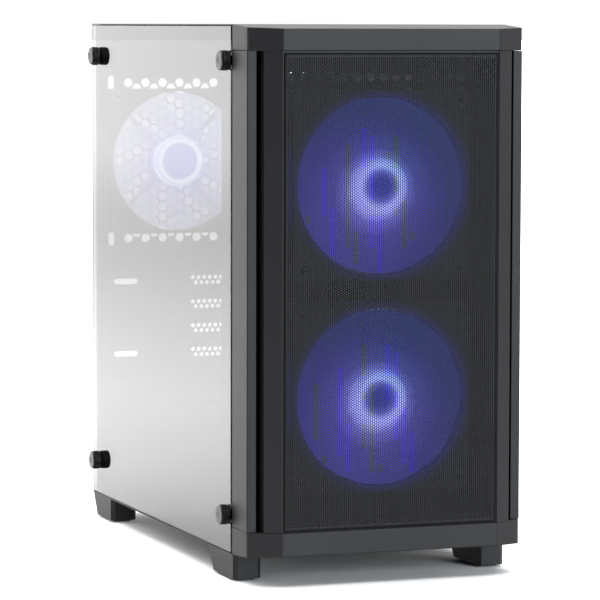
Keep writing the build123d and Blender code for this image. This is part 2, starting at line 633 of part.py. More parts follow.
def fan_rotor(deep, tip, hub, blades):
    """Hub cap and swept blades, in the same frame as fan_frame."""
    front = 1.0
    back = deep - 3.3
    middle = (front + back) / 2
    hub_piece = rod(Plane.XY, 0, 0, hub, front, back)
    hub_piece = fillet(hub_piece.edges().group_by(Axis.Z)[0], 1.5)
    pitch = 2 * math.pi / blades
    reach = back - front - 2.5
    tip_angle = math.radians(30)
    root_angle = math.radians(50)
    tip_chord = min(reach / math.sin(tip_angle), 0.86 * pitch * tip / math.cos(tip_angle))
    root_chord = min(reach / math.sin(root_angle), 0.8 * pitch * hub / math.cos(root_angle))
    sections = []
    for radius, chord, angle in ((hub - 3, root_chord, root_angle), (tip + 3, tip_chord, tip_angle)):
        lean = (0, math.cos(angle), math.sin(angle))
        plane = Plane(origin=(radius, 0, middle), x_dir=lean, z_dir=(1, 0, 0))
        sections.append(plane * Rectangle(chord, 1.5))
    blade = loft(sections) & rod(Plane.XY, 0, 0, tip, front, back)
    rotor = hub_piece
    for i in range(blades):
        rotor += Rot(0, 0, 360 / blades * i) * blade
    return rotor


def fan_place(x, y, z):
    """Local z to the back of the case."""
    return Location(Plane(origin=(x, y, z), x_dir=(1, 0, 0), z_dir=(0, 1, 0)))


front_fan = fan_frame(FRONT_FAN, FAN_DEEP, FRONT_BORE, FRONT_SCREWS, FRONT_HUB)
front_rotor = fan_rotor(FAN_DEEP, FRONT_BORE - TIP_GAP, FRONT_HUB, 9)
rear_fan = fan_frame(REAR_FAN, FAN_DEEP, REAR_BORE, REAR_SCREWS, REAR_HUB)
rear_rotor = fan_rotor(FAN_DEEP, REAR_BORE - TIP_GAP, REAR_HUB, 9)
for name, z in zip(("upper", "lower"), FRONT_FAN_Z):
    save(f"front_fan_{name}_frame", fan_place(0, FRONT_FAN_Y, z) * front_fan)
    save(f"front_fan_{name}_rotor", fan_place(0, FRONT_FAN_Y, z) * front_rotor)
save("rear_fan_frame", fan_place(REAR_FAN_X, REAR_FAN_Y, REAR_FAN_Z) * rear_fan)
save("rear_fan_rotor", fan_place(REAR_FAN_X, REAR_FAN_Y, REAR_FAN_Z) * rear_rotor)


def pan_screw(radius, head, head_tall, long):
    """Pan-head screw along local z: the head stands above z = 0 and the shank goes below."""
    screw = rod(Plane.XY, 0, 0, head, 0, head_tall)
    screw = fillet(screw.edges().group_by(Axis.Z)[-1], head_tall * 0.4)
    screw += rod(Plane.XY, 0, 0, radius, -long, 0)
    cross = Box(head, 0.9, 1.6) + Box(0.9, head, 1.6)
    return screw - Pos(0, 0, head_tall) * cross


def fan_screws():
    screws = []
    screw = pan_screw(FAN_SCREW_RADIUS, 3.8, 2.0, 9)
    to_front = Location(Plane(origin=(0, 0, 0), x_dir=(1, 0, 0), z_dir=(0, 1, 0)))
    for z in FRONT_FAN_Z:
        screws += [Pos(x, INSIDE_FRONT, z + dz) * to_front * screw for x, dz in corners(FRONT_SCREWS)]
    for x, dz in corners(REAR_SCREWS):
        screws.append(Pos(REAR_FAN_X + x, REAR_WALL_OUT, REAR_FAN_Z + dz) * to_front * screw)
    return screws


save("fan_screws", fan_screws())


# ---------------------------------------------------------------- expansion slot covers
def slot_cover(z):
    """Vented cover inside the rear wall, with a tab that passes out through the slit."""
    left = BRACKET_SLIT_X - SHEET
    strip = rect_wire(left, SLOT_RIGHT + 6, z - 9, z + 9)
    holes = []
    for row, first in ((2.15, SLOT_LEFT + 5.6), (-2.15, SLOT_LEFT + 8.1)):
        count = int((SLOT_RIGHT - 4 - first) / 4.96) + 1
        holes += [round_wire(first + 4.96 * i, z + row, 1.85) for i in range(count)]
    cover = sheet(across(REAR_WALL_IN), strip, holes, SHEET)
    tab = block(left, BRACKET_SLIT_X, REAR_WALL_IN - SHEET, REAR_WALL_IN + BRACKET_TAB - 4.6, z - 7, z + 7)
    tab -= rod(beside(left - 1), REAR_WALL_OUT + 3.2, z, 1.9, 0, 3)
    return cover + tab


save("slot_covers", [slot_cover(z) for z in SLOT_Z])


def rear_screws():
    """Four screws in the slot covers' tabs and four in the back of the power supply."""
    screws = []
    slot_screw = pan_screw(1.4, 2.8, 1.6, 3.4)
    to_left = Location(Plane(origin=(0, 0, 0), x_dir=(0, 1, 0), z_dir=(-1, 0, 0)))
    for z in SLOT_Z:
        screws.append(Pos(BRACKET_SLIT_X - SHEET, REAR_WALL_OUT + 3.2, z) * to_left * slot_screw)
    psu_screw = pan_screw(1.7, 3.8, 2.0, 6)
    to_back = Location(Plane(origin=(0, 0, 0), x_dir=(1, 0, 0), z_dir=(0, 1, 0)))
    screws += [Pos(x, REAR_WALL_OUT, z) * to_back * psu_screw for x, z in psu_screw_places()]
    return screws


save("rear_screws", rear_screws())


# ---------------------------------------------------------------- glass side and its screws
def glass_holes():
    return [(y, z) for y in (SCREW_FRONT_Y, SCREW_REAR_Y) for z in (SCREW_TOP_Z, SCREW_BOTTOM_Z)]


def glass_panel():
    front = FASCIA_DEPTH + GLASS_FRONT_GAP
    outline = rect_wire(front, BODY_DEPTH - 0.2, FLOOR_Z + 0.2, ROOF_Z - 0.2)
    holes = [round_wire(y, z, GLASS_HOLE) for y, z in glass_holes()]
    pane = sheet(beside(-HALF), outline, holes, GLASS)
    return chamfer(pane.edges().filter_by(Axis.X, reverse=True).group_by(Axis.X)[0], 0.5)


def grommets():
    """Rubber rings that line the glass holes and hold the glass off the rails."""
    gap = RAIL_INSET - GLASS - 0.2
    rings = []
    for y, z in glass_holes():
        ring = rod(beside(-HALF), y, z, GLASS_HOLE, 0.6, GLASS, SCREW_HOLE)
        ring += rod(beside(-HALF), y, z, GROMMET_RADIUS, GLASS, GLASS + gap, SCREW_HOLE)
        rings.append(ring)
    return rings


def glass_screw(y, z):
    """Thumbscrew with a dimpled head, standing out to the left."""
    head = rod(beside(-HALF), y, z, SCREW_HEAD / 2, -SCREW_HEAD_DEEP, 0)
    head = chamfer(head.edges().group_by(Axis.X)[0], 0.8)
    head -= rod(beside(-HALF), y, z, 3.0, -SCREW_HEAD_DEEP - 1, -SCREW_HEAD_DEEP + 1.0)
    return head + rod(beside(-HALF), y, z, SCREW_SHANK / 2, 0, SCREW_SHANK_LONG)


save("glass_panel", glass_panel())
save("glass_grommets", grommets())
for end, y in (("front", SCREW_FRONT_Y), ("rear", SCREW_REAR_Y)):
    for side, z in (("upper", SCREW_TOP_Z), ("lower", SCREW_BOTTOM_Z)):
        save(f"glass_screw_{end}_{side}", glass_screw(y, z))


# ---------------------------------------------------------------- steel side and its screws
def side_panel():
    """Steel side with folded edges and a rear lip that laps the rear wall."""
    low = FLOOR_Z + 0.2
    high = ROOF_Z - 0.2
    front = FASCIA_DEPTH + 0.4
    fold = RAIL_INSET - SHEET - 0.2
    panel = block(HALF - SHEET, HALF, front, PANEL_BACK, low, high)
    inner = HALF - SHEET - fold
    for z in (low, high - SHEET):
        panel += block(inner, HALF - SHEET, front, PANEL_BACK, z, z + SHEET)
    panel += block(inner, HALF - SHEET, front, front + SHEET, low, high)
    lip = block(HALF - PANEL_LIP, HALF, PANEL_BACK - SHEET, PANEL_BACK, low + 4, high - 4)
    for z in SIDE_SCREW_Z:
        lip -= rod(across(PANEL_BACK + 1), SIDE_SCREW_X, z, SCREW_HOLE, 0, 3)
    return panel + lip


def side_screw(z):
    """Thumbscrew that stands out of the back."""
    plane = across(PANEL_BACK)
    head = rod(plane, SIDE_SCREW_X, z, SIDE_SCREW_HEAD / 2, -SIDE_SCREW_DEEP, 0)
    head = chamfer(head.edges().group_by(Axis.Y)[-1], 0.8)
    return head + rod(plane, SIDE_SCREW_X, z, SCREW_SHANK / 2, 0, 7.0)


save("side_panel", side_panel())
for name, z in zip(("lower", "upper"), SIDE_SCREW_Z):
    save(f"side_screw_{name}", side_screw(z))


# ---------------------------------------------------------------- filters
def filter_frame(x0, x1, y0, y1, z, thick, rim):
    inner = rect_wire(x0 + rim, x1 - rim, y0 + rim, y1 - rim)
    return sheet(level(z), rect_wire(x0, x1, y0, y1), [inner], thick)


def top_filter():
    z = HEIGHT - FILTER_THICK
    frame = filter_frame(-FILTER_X, FILTER_X, FILTER_FRONT, FILTER_REAR, z, FILTER_THICK, FILTER_RIM)
    x = FILTER_X - FILTER_RIM
    cloth = block(-x, x, FILTER_FRONT + FILTER_RIM, FILTER_REAR - FILTER_RIM, z + 0.3, z + 0.8)
    return frame, cloth


def psu_filter():
    """Slide-out tray under the power supply with two cross bars, a fine mesh and a pull at the back."""
    x0 = PSU_X - LOW_FILTER_WIDE / 2
    x1 = PSU_X + LOW_FILTER_WIDE / 2
    y0 = LOW_FILTER_FRONT
    y1 = LOW_FILTER_REAR
    low = LOW_FILTER_Z
    high = low + LOW_FILTER_THICK
    frame = filter_frame(x0, x1, y0, y1, low, LOW_FILTER_THICK, 6)
    frame += block(PSU_X - 1.5, PSU_X + 1.5, y0 + 6, y1 - 6, low, high)
    frame += block(x0 + 6, x1 - 6, (y0 + y1) / 2 - 1.5, (y0 + y1) / 2 + 1.5, low, high)
    return frame + block(PSU_X - 18, PSU_X + 18, y1, y1 + 9, low, high)


top_frame, top_cloth = top_filter()
save("top_filter_frame", top_frame)
save("top_filter_mesh", top_cloth)
save("psu_filter", psu_filter())


# ---------------------------------------------------------------- socket strip and buttons
def usb_shell(x):
    """A socket for a flat plug, opening upwards, with its tongue."""
    y = IO_STRIP_Y
    shell = block(x - 7.2, x + 7.2, y - 3.6, y + 3.6, HEIGHT - 15, HEIGHT)
    shell -= block(x - 6.4, x + 6.4, y - 2.8, y + 2.8, HEIGHT - 13, HEIGHT + 1)
    return shell + block(x - 5.8, x + 5.8, y - 1.6, y + 0.2, HEIGHT - 13, HEIGHT - 1)


def jack(x):
    return rod(level(HEIGHT), x, IO_STRIP_Y, 3.4, -14, 0) - rod(level(HEIGHT), x, IO_STRIP_Y, 1.8, -12, 1)


def socket_strip():
    """Plastic strip let into the roof, with openings for the buttons and sockets."""
    half = IO_STRIP_LONG / 2
    wide = IO_STRIP_WIDE / 2
    strip = block(-half, half, IO_STRIP_Y - wide, IO_STRIP_Y + wide, ROOF_Z - 2, HEIGHT)
    strip += block(-half - 4, half + 4, IO_STRIP_Y - wide - 3, IO_STRIP_Y + wide + 3, ROOF_Z - 2, ROOF_Z)
    for x in USB_X:
        strip -= block(x - 7.2, x + 7.2, IO_STRIP_Y - 3.6, IO_STRIP_Y + 3.6, ROOF_Z - 3, HEIGHT + 1)
    for x in JACK_X:
        strip -= rod(level(ROOF_Z - 3), x, IO_STRIP_Y, 3.4, 0, 6)
    for x, radius in ((BUTTON_X, BUTTON_RADIUS), (RESET_X, RESET_RADIUS)):
        strip -= rod(level(ROOF_Z - 3), x, IO_STRIP_Y, radius + CLEAR, 0, 6)
    return strip


def button(x, radius):
    """A round cap level with the strip, on a collar that stops it from below."""
    cap = rod(level(HEIGHT), x, IO_STRIP_Y, radius, -7, 0)
    cap = fillet(cap.edges().group_by(Axis.Z)[-1], 0.5)
    return cap + rod(level(HEIGHT), x, IO_STRIP_Y, radius + 1.5, -7, -BUTTON_STOP)


save("top_io_panel", socket_strip())
save("top_io_sockets", [usb_shell(x) for x in USB_X] + [jack(x) for x in JACK_X])
save("power_button", button(BUTTON_X, BUTTON_RADIUS))
save("reset_button", button(RESET_X, RESET_RADIUS))


# ---------------------------------------------------------------- motherboard
BOARD_HOLES = [(BOARD_REAR - back, BOARD_TOP - drop)
               for back in (10.2, 165.1, 237.7) for drop in (6.4, 163.8, 236.0)]


def standoffs():
    posts = [rod(beside(BOARD_BACK), y, z, 2.8, 0, TRAY_STANDOFF, 1.45) for y, z in BOARD_HOLES]
    screw = pan_screw(1.35, 3.0, 1.8, 5)
    to_left = Location(Plane(origin=(0, 0, 0), x_dir=(0, 1, 0), z_dir=(-1, 0, 0)))
    screws = [Pos(BOARD_FACE, y, z) * to_left * screw for y, z in BOARD_HOLES]
    return posts, screws


def off_board(y0, y1, z0, z1, tall, base=0.0):
    """A block standing off the board's face, tall towards the glass."""
    return block(BOARD_FACE - base - tall, BOARD_FACE - base, y0, y1, z0, z1)


def io_ports():
    """Rear sockets up the board's edge: plug sockets are hollow, and audio jacks are in a stack."""
    back = REAR_WALL_IN + 0.9
    front = BOARD_REAR - 16
    ports = []
    # each socket: its middle below the board's top edge, its height and how far it stands out
    layout = ((19.7, 14, 30), (39.7, 14, 34), (61.7, 16, 12), (83.7, 16, 32), (109.7, 20, 32))
    for drop, tall, out in layout:
        low = BOARD_TOP - drop - tall / 2
        high = low + tall
        outer = BOARD_FACE - out
        port = block(outer, BOARD_FACE, front, back, low, high)
        port -= block(outer + 1.5, BOARD_FACE - 1.5, back - 10, back + 1, low + 1.5, high - 1.5)
        ports.append(port)
    audio_z = BOARD_TOP - 144.7
    stack = block(BOARD_FACE - 34, BOARD_FACE, front, back, audio_z - 8, audio_z + 8)
    for i in range(3):
        stack -= rod(across(back + 1), BOARD_FACE - 6 - 11 * i, audio_z, 2.8, 0, 12)
    ports.append(stack)
    return ports


def io_shield(ports):
    """Thin stamped plate in the rear wall's opening, cut round every socket."""
    x0 = IO_RIGHT - IO_WIDE
    top = IO_BOTTOM + IO_TALL - 0.2
    plate = block(x0 + 0.2, IO_RIGHT - 0.2, REAR_WALL_IN, REAR_WALL_IN + 0.5, IO_BOTTOM + 0.2, top)
    for port in ports:
        box = port.bounding_box()
        plate -= block(box.min.X - 0.3, box.max.X + 0.3, REAR_WALL_IN - 1, REAR_WALL_IN + 2,
                       box.min.Z - 0.3, box.max.Z + 0.3)
    for i in range(4):
        z = IO_BOTTOM + 32.7 + 3 * i
        plate -= block(x0 + 8, x0 + 36, REAR_WALL_IN - 1, REAR_WALL_IN + 2, z, z + 1.2)
    return plate


def processor_and_socket():
    """The socket's frame and the processor that sits inside it."""
    socket = off_board(CPU_Y - 24, CPU_Y + 24, CPU_Z - 24, CPU_Z + 24, 4.0)
    socket -= off_board(CPU_Y - 19, CPU_Y + 19, CPU_Z - 19, CPU_Z + 19, 3.0, 1.5)
    chip = off_board(CPU_Y - 18.5, CPU_Y + 18.5, CPU_Z - 18.5, CPU_Z + 18.5, 3.5, 1.5)
    return [socket, chip]


def cooler():
    """Finned block pressed on the processor, with its fan on the glass side."""
    base_tall = 5.0
    foot_off = BOARD_FACE - 5.0
    fin_top = BOARD_FACE - COOLER_TALL + COOLER_FAN_DEEP
    half = COOLER / 2 - 1
    low = CPU_Z - half
    high = CPU_Z + half
    plate_x = foot_off - base_tall
    piece = block(plate_x, foot_off, CPU_Y - 22, CPU_Y + 22, CPU_Z - 22, CPU_Z + 22)
    piece += block(plate_x - 2, plate_x, CPU_Y - half, CPU_Y + half, low, high)
    fins = 25
    for i in range(fins):
        y = CPU_Y - half + 0.3 + i * (2 * half - 0.6) / (fins - 1)
        piece += block(fin_top, plate_x - 2, y - 0.3, y + 0.3, low, high)
    return piece


def memory():
    """Two memory modules in four sockets, upright beside the processor."""
    sockets = []
    modules = []
    for i in range(4):
        y = CPU_Y - 66 - 9.5 * i
        z0 = BOARD_TOP - 12 - 140
        socket = off_board(y - 3.2, y + 3.2, z0, z0 + 140, 7.0)
        socket -= off_board(y - 0.9, y + 0.9, z0 + 2, z0 + 138, 8.0, 3.0)
        sockets.append(socket)
        if i % 2:
            modules.append(off_board(y - 0.7, y + 0.7, z0 + 3.4, z0 + 136.6, 31.0, 3.2))
            modules[-1] += off_board(y - 2.6, y + 2.6, z0 + 4, z0 + 136, 22.0, 12.0)
    return sockets, modules


def card_sockets():
    """One long and two short expansion card sockets."""
    pieces = []
    for z, long in ((SLOT_Z[0], 89.0), (SLOT_Z[1], 25.0), (SLOT_Z[3], 25.0)):
        y1 = BOARD_REAR - 45
        socket = off_board(y1 - long, y1, z - 3.7, z + 3.7, 11.0)
        socket -= off_board(y1 - long + 2, y1 - 2, z - 0.9, z + 0.9, 8.0, 5.0)
        pieces.append(socket)
    return pieces


def finned_block(y0, y1, z0, z1, tall, grooves):
    body = off_board(y0, y1, z0, z1, tall)
    step = (z1 - z0) / (grooves + 1)
    for i in range(grooves):
        z = z0 + step * (i + 1)
        body -= off_board(y0 - 1, y1 + 1, z - step / 4, z + step / 4, tall, 3.0)
    return body


def power_sockets():
    """The board's two power sockets, each with a grid of square ways."""
    pieces = []
    layout = ((BOARD_FRONT + 8, BOARD_TOP - 90, 12, 2), (BOARD_REAR - 40, BOARD_TOP - 10, 2, 4))
    for y, z, rows, columns in layout:
        half_y = columns * 2.1 + 1
        half_z = rows * 2.1 + 1
        body = off_board(y - half_y, y + half_y, z - half_z, z + half_z, 12.0)
        for i in range(columns):
            for j in range(rows):
                way_y = y + (i - (columns - 1) / 2) * 4.2
                way_z = z + (j - (rows - 1) / 2) * 4.2
                body -= off_board(way_y - 1.6, way_y + 1.6, way_z - 1.6, way_z + 1.6, 10.0, 3.0)
        pieces.append(body)
    return pieces


board_outline = rect_wire(BOARD_FRONT, BOARD_REAR, BOARD_BOTTOM, BOARD_TOP)
board_holes = [round_wire(y, z, 1.95) for y, z in BOARD_HOLES]
save("motherboard", sheet(beside(BOARD_FACE), board_outline, board_holes, BOARD_THICK))
post_list, screw_list = standoffs()
save("board_standoffs", post_list)
save("board_screws", screw_list)
port_list = io_ports()
save("rear_io_ports", port_list)
save("io_shield", io_shield(port_list))
save("processor_socket", processor_and_socket())
save("cpu_heatsink", cooler())
socket_list, module_list = memory()
save("memory_sockets", socket_list)
save("memory_modules", module_list)
save("card_sockets", card_sockets())
chipset_y = BOARD_FRONT + 22
chipset_z = BOARD_BOTTOM + 30
save("chipset_heatsink", finned_block(chipset_y, chipset_y + 44, chipset_z, chipset_z + 44, 8, 5))
save("power_sockets", power_sockets())

cpu_fan = fan_frame(COOLER, COOLER_FAN_DEEP, COOLER / 2 - 2, 82.5, 15)
cpu_rotor = fan_rotor(COOLER_FAN_DEEP, COOLER / 2 - 3.2, 15, 7)
cooler_face = Plane(origin=(BOARD_FACE - COOLER_TALL, CPU_Y, CPU_Z), x_dir=(0, 1, 0), z_dir=(1, 0, 0))
save("cpu_fan_frame", Location(cooler_face) * cpu_fan)
save("cpu_fan_rotor", Location(cooler_face) * cpu_rotor)


# ---------------------------------------------------------------- drive on the back of the tray
drive_x = TRAY_X + SHEET
drive_y = PSU_FRONT - 115
drive = block(drive_x, drive_x + 7, drive_y, drive_y + 69.85, FLOOR_Z + 10, FLOOR_Z + 110)
save("solid_state_drive", chamfer(drive.edges().filter_by(Axis.X), 1.5))


# ---------------------------------------------------------------- power supply
def psu_block(inset):
    """The power supply's outside, or its inside at a wall's thickness."""
    return block(PSU_LEFT + inset, PSU_RIGHT - inset, PSU_FRONT + inset, REAR_WALL_IN - inset,
                 PSU_BOTTOM + inset, PSU_TOP - inset)


def psu_case():
    """Sheet box with a fan opening below, a honeycomb back, and openings for the inlet and the switch."""
    shell = psu_block(0) - psu_block(PSU_SHELL)
    shell -= rod(level(PSU_BOTTOM - 1), PSU_X, PSU_FAN_Y, PSU_BORE, 0, 4)
    vents = [hex_wire(PSU_X - 54 + 7.5 * i, PSU_Z - 26 + 8.66 * j + 4.33 * (i % 2), 6.6)
             for i in range(10) for j in range(6)]
    cut_plane = across(REAR_WALL_IN + 1)
    shell -= [Solid.extrude(Face(cut_plane * vent), (0, -3, 0)) for vent in vents]
    for half_x, half_z, z in ((14.2, 10.2, INLET_Z), (10.2, 7.2, SWITCH_Z)):
        x0 = INLET_X - half_x
        x1 = INLET_X + half_x
        shell -= block(x0, x1, REAR_WALL_IN - 2, REAR_WALL_IN + 1, z - half_z, z + half_z)
    for x, z in psu_screw_places():
        shell -= rod(across(REAR_WALL_IN + 1), x, z, 1.85, 0, 3)
    # outlet for the internal leads, towards the front
    return shell - block(PSU_X + 20, PSU_X + 60, PSU_FRONT - 1, PSU_FRONT + 2, PSU_Z - 12, PSU_Z + 12)


def fan_guard():
    """Ring guard under the power supply's fan, stamped with four arms."""
    guard = rod(level(PSU_BOTTOM - 1.2), PSU_X, PSU_FAN_Y, 6, 0, 1.2)
    for i in range(6):
        radius = 14 + 9 * i
        guard += rod(level(PSU_BOTTOM - 1.2), PSU_X, PSU_FAN_Y, radius + 0.9, 0, 1.2, radius - 0.9)
    arm = block(4, 63, -1.4, 1.4, 0, 1.2)
    for i in range(4):
        guard += Pos(PSU_X, PSU_FAN_Y, PSU_BOTTOM - 1.2) * Rot(0, 0, 45 + 90 * i) * arm
    return guard


def inlet():
    """Mains inlet: a shrouded socket with three pins."""
    y0 = REAR_WALL_IN - 18
    body = block(INLET_X - 14, INLET_X + 14, y0, REAR_WALL_IN, INLET_Z - 10, INLET_Z + 10)
    body += block(INLET_X - 16, INLET_X + 16, REAR_WALL_IN, REAR_WALL_IN + 1.6, INLET_Z - 12, INLET_Z + 12)
    body -= block(INLET_X - 12, INLET_X + 12, y0 + 2, REAR_WALL_IN + 2, INLET_Z - 8, INLET_Z + 8)
    for dx, dz in ((-7, -4), (0, 0.6), (7, -4)):
        x = INLET_X + dx
        z = INLET_Z + dz
        body += block(x - 1, x + 1, y0 + 2, REAR_WALL_IN - 2, z - 2, z + 2)
    return body


def switch_housing():
    """Bezel in the supply's back that holds the rocker."""
    body = block(INLET_X - 10, INLET_X + 10, REAR_WALL_IN - 12, REAR_WALL_IN, SWITCH_Z - 7, SWITCH_Z + 7)
    body += block(INLET_X - 12, INLET_X + 12, REAR_WALL_IN, REAR_WALL_IN + 1.2, SWITCH_Z - 9, SWITCH_Z + 9)
    x0 = INLET_X - ROCKER_LONG / 2 - 0.8
    x1 = INLET_X + ROCKER_LONG / 2 + 0.8
    low = SWITCH_Z - ROCKER_WIDE / 2 - CLEAR
    high = SWITCH_Z + ROCKER_WIDE / 2 + CLEAR
    return body - block(x0, x1, REAR_WALL_IN - 10, REAR_WALL_IN + 2, low, high)


def rocker():
    """Rocker on an upright pin through its middle, resting tilted to one side; its face is a shallow vee."""
    y1 = REAR_WALL_IN + 2.0
    half = ROCKER_LONG / 2
    points = [(INLET_X - half, y1), (INLET_X - half, y1 - 5), (INLET_X, y1 - 8), (INLET_X + half, y1 - 5),
              (INLET_X + half, y1), (INLET_X, y1 - 1.0)]
    face = Face(level(SWITCH_Z - ROCKER_WIDE / 2) * Wire.make_polygon(points))
    body = Solid.extrude(face, (0, 0, ROCKER_WIDE))
    return body.rotate(Axis((INLET_X, ROCKER_PIN_Y, 0), (0, 0, 1)), ROCKER_SWING)


save("psu_case", psu_case())
save("psu_fan_guard", fan_guard())
psu_fan_face = Plane(origin=(PSU_X, PSU_FAN_Y, PSU_BOTTOM + PSU_SHELL), x_dir=(1, 0, 0), z_dir=(0, 0, 1))
save("psu_fan_frame", Location(psu_fan_face) * fan_frame(PSU_FAN, FAN_DEEP, PSU_BORE, REAR_SCREWS, PSU_HUB))
save("psu_fan_rotor", Location(psu_fan_face) * fan_rotor(FAN_DEEP, PSU_BORE - TIP_GAP, PSU_HUB, 7))
save("psu_inlet_and_housing", [inlet(), switch_housing()])
save("psu_switch", rocker())
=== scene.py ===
import math

import bpy
import numpy as np
from mathutils import Matrix, Vector


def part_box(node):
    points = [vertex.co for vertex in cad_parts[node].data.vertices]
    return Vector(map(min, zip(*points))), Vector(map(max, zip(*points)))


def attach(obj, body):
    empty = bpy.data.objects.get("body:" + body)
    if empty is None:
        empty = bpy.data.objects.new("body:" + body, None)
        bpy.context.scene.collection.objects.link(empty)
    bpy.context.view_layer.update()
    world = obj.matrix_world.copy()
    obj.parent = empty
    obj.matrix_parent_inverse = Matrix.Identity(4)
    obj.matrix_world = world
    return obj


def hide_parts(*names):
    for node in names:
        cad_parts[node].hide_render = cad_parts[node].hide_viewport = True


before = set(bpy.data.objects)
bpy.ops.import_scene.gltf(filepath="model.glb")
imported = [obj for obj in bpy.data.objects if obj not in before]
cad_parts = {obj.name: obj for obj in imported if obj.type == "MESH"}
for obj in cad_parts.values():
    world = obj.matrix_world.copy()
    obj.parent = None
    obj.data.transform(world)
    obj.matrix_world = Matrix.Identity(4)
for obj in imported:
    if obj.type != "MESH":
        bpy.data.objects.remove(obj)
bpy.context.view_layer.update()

MM = 0.001
TAU = 2 * math.pi


def box(node):
    """Lowest and highest corner of a CAD piece as two arrays, in metres."""
    low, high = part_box(node)
    return np.array(low), np.array(high)


def middle(node):
    """Centre of a CAD piece's box, in metres."""
    low, high = box(node)
    return (low + high) / 2


MESH_LOW, MESH_HIGH = box("front_mesh")
FRONT = MESH_LOW[1]                                  # flat of the front
CENTRE_X = middle("front_mesh")[0]                   # middle of the case
HALF = box("side_panel")[1][0] - CENTRE_X            # half the width of the case


# ---------------------------------------------------------------- mesh code
def rows_to_quads(rings, count):
    """Quads between neighbouring closed loops of equal length."""
    here = np.arange(rings * count).reshape(rings, count)
    ahead = np.roll(here, -1, axis=1)
    return np.stack([here[:-1], ahead[:-1], ahead[1:], here[1:]], axis=-1).reshape(-1, 4)


def volume_of(points, quads, caps):
    """Six times the volume inside a closed surface, signed by the way its faces point."""
    def tetra(a, b, c):
        return np.einsum("ij,ij->i", points[a], np.cross(points[b], points[c])).sum()
    total = tetra(quads[:, 0], quads[:, 1], quads[:, 2]) + tetra(quads[:, 0], quads[:, 2], quads[:, 3])
    for cap in caps:
        cap = np.asarray(cap)
        start = np.full(len(cap) - 2, cap[0])
        total += tetra(start, cap[1:-1], cap[2:])
    return total


def outward(points, quads, caps):
    """Turns a closed surface so that its faces point out."""
    shifted = points - points.mean(axis=0)
    if volume_of(shifted, quads, caps) < 0:
        quads = quads[:, ::-1]
        caps = [cap[::-1] for cap in caps]
    return points, quads, caps


def stack(rings, closed=False):
    """A surface through loops of equal length, with a cap at each end, or joined back to its first loop."""
    rings = np.asarray(rings, float)
    levels, count = rings.shape[:2]
    points = rings.reshape(-1, 3)
    if closed:
        here = np.arange(levels * count).reshape(levels, count)
        ahead = np.roll(here, -1, axis=1)
        above = np.roll(here, -1, axis=0)
        across = np.roll(above, -1, axis=1)
        quads = np.stack([here, ahead, across, above], axis=-1).reshape(-1, 4)
        return outward(points, quads, [])
    quads = rows_to_quads(levels, count)
    caps = [list(range(count))[::-1], list(range((levels - 1) * count, levels * count))]
    return outward(points, quads, caps)


def joined(*shapes):
    """Several separate surfaces in one set of points, quads and caps."""
    points = []
    quads = []
    caps = []
    base = 0
    for shape_points, shape_quads, shape_caps in shapes:
        points.append(shape_points)
        quads.append(shape_quads + base)
        caps += [[i + base for i in cap] for cap in shape_caps]
        base += len(shape_points)
    return np.concatenate(points), np.concatenate(quads), caps


def piece(name, shape, body, finish, stands_for=(), crease=32.0):
    """A named object made from a surface: it rides on a body and takes a finish."""
    points, quads, caps = shape
    mesh = bpy.data.meshes.new(name)
    loops = np.concatenate([quads.ravel()] + [np.asarray(cap) for cap in caps]).astype(np.int32)
    sizes = np.concatenate([np.full(len(quads), 4), np.array([len(cap) for cap in caps], int)]).astype(int)
    starts = np.concatenate([[0], np.cumsum(sizes)[:-1]]).astype(np.int32)
    mesh.vertices.add(len(points))
    mesh.vertices.foreach_set("co", np.ascontiguousarray(points, np.float32).ravel())
    mesh.loops.add(len(loops))
    mesh.loops.foreach_set("vertex_index", loops)
    mesh.polygons.add(len(starts))
    mesh.polygons.foreach_set("loop_start", starts)
    mesh.polygons.foreach_set("use_smooth", np.full(len(starts), crease > 0))
    mesh.update(calc_edges=True)
    if crease > 0:
        mesh.set_sharp_from_angle(angle=math.radians(crease))
    mesh.materials.append(finish)
    made = bpy.data.objects.new(name, mesh)
    bpy.context.scene.collection.objects.link(made)
    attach(made, body)
    if stands_for:
        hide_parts(*stands_for)
    return made


def even_flats(made):
    """Large flats keep their own shading instead of taking up that of their narrow rounded edges."""
    weighted = made.modifiers.new("even_flats", "WEIGHTED_NORMAL")
    weighted.keep_sharp = True


def rounded_loop(corners, radius, steps=5):
    """A closed outline whose corners are arcs, from a list of corners (u, v) and one radius or several."""
    corners = np.asarray(corners, float)
    radii = np.broadcast_to(np.asarray(radius, float), len(corners))
    before = np.roll(corners, 1, axis=0)
    after = np.roll(corners, -1, axis=0)
    outline = []
    for corner, back, ahead, r in zip(corners, before, after, radii):
        to_back = (back - corner) / np.linalg.norm(back - corner)
        to_ahead = (ahead - corner) / np.linalg.norm(ahead - corner)
        half = math.acos(np.clip(to_back @ to_ahead, -1, 1)) / 2
        inward = (to_back + to_ahead) / np.linalg.norm(to_back + to_ahead)
        centre = corner + inward * r / math.sin(half)
        start = corner + to_back * r / math.tan(half) - centre
        end = corner + to_ahead * r / math.tan(half) - centre
        swing = math.atan2(start[0] * end[1] - start[1] * end[0], start @ end)
        turn = swing * np.linspace(0, 1, steps)
        arc_u = start[0] * np.cos(turn) - start[1] * np.sin(turn)
        arc_v = start[0] * np.sin(turn) + start[1] * np.cos(turn)
        outline.append(np.stack([centre[0] + arc_u, centre[1] + arc_v], axis=-1))
    return np.concatenate(outline)


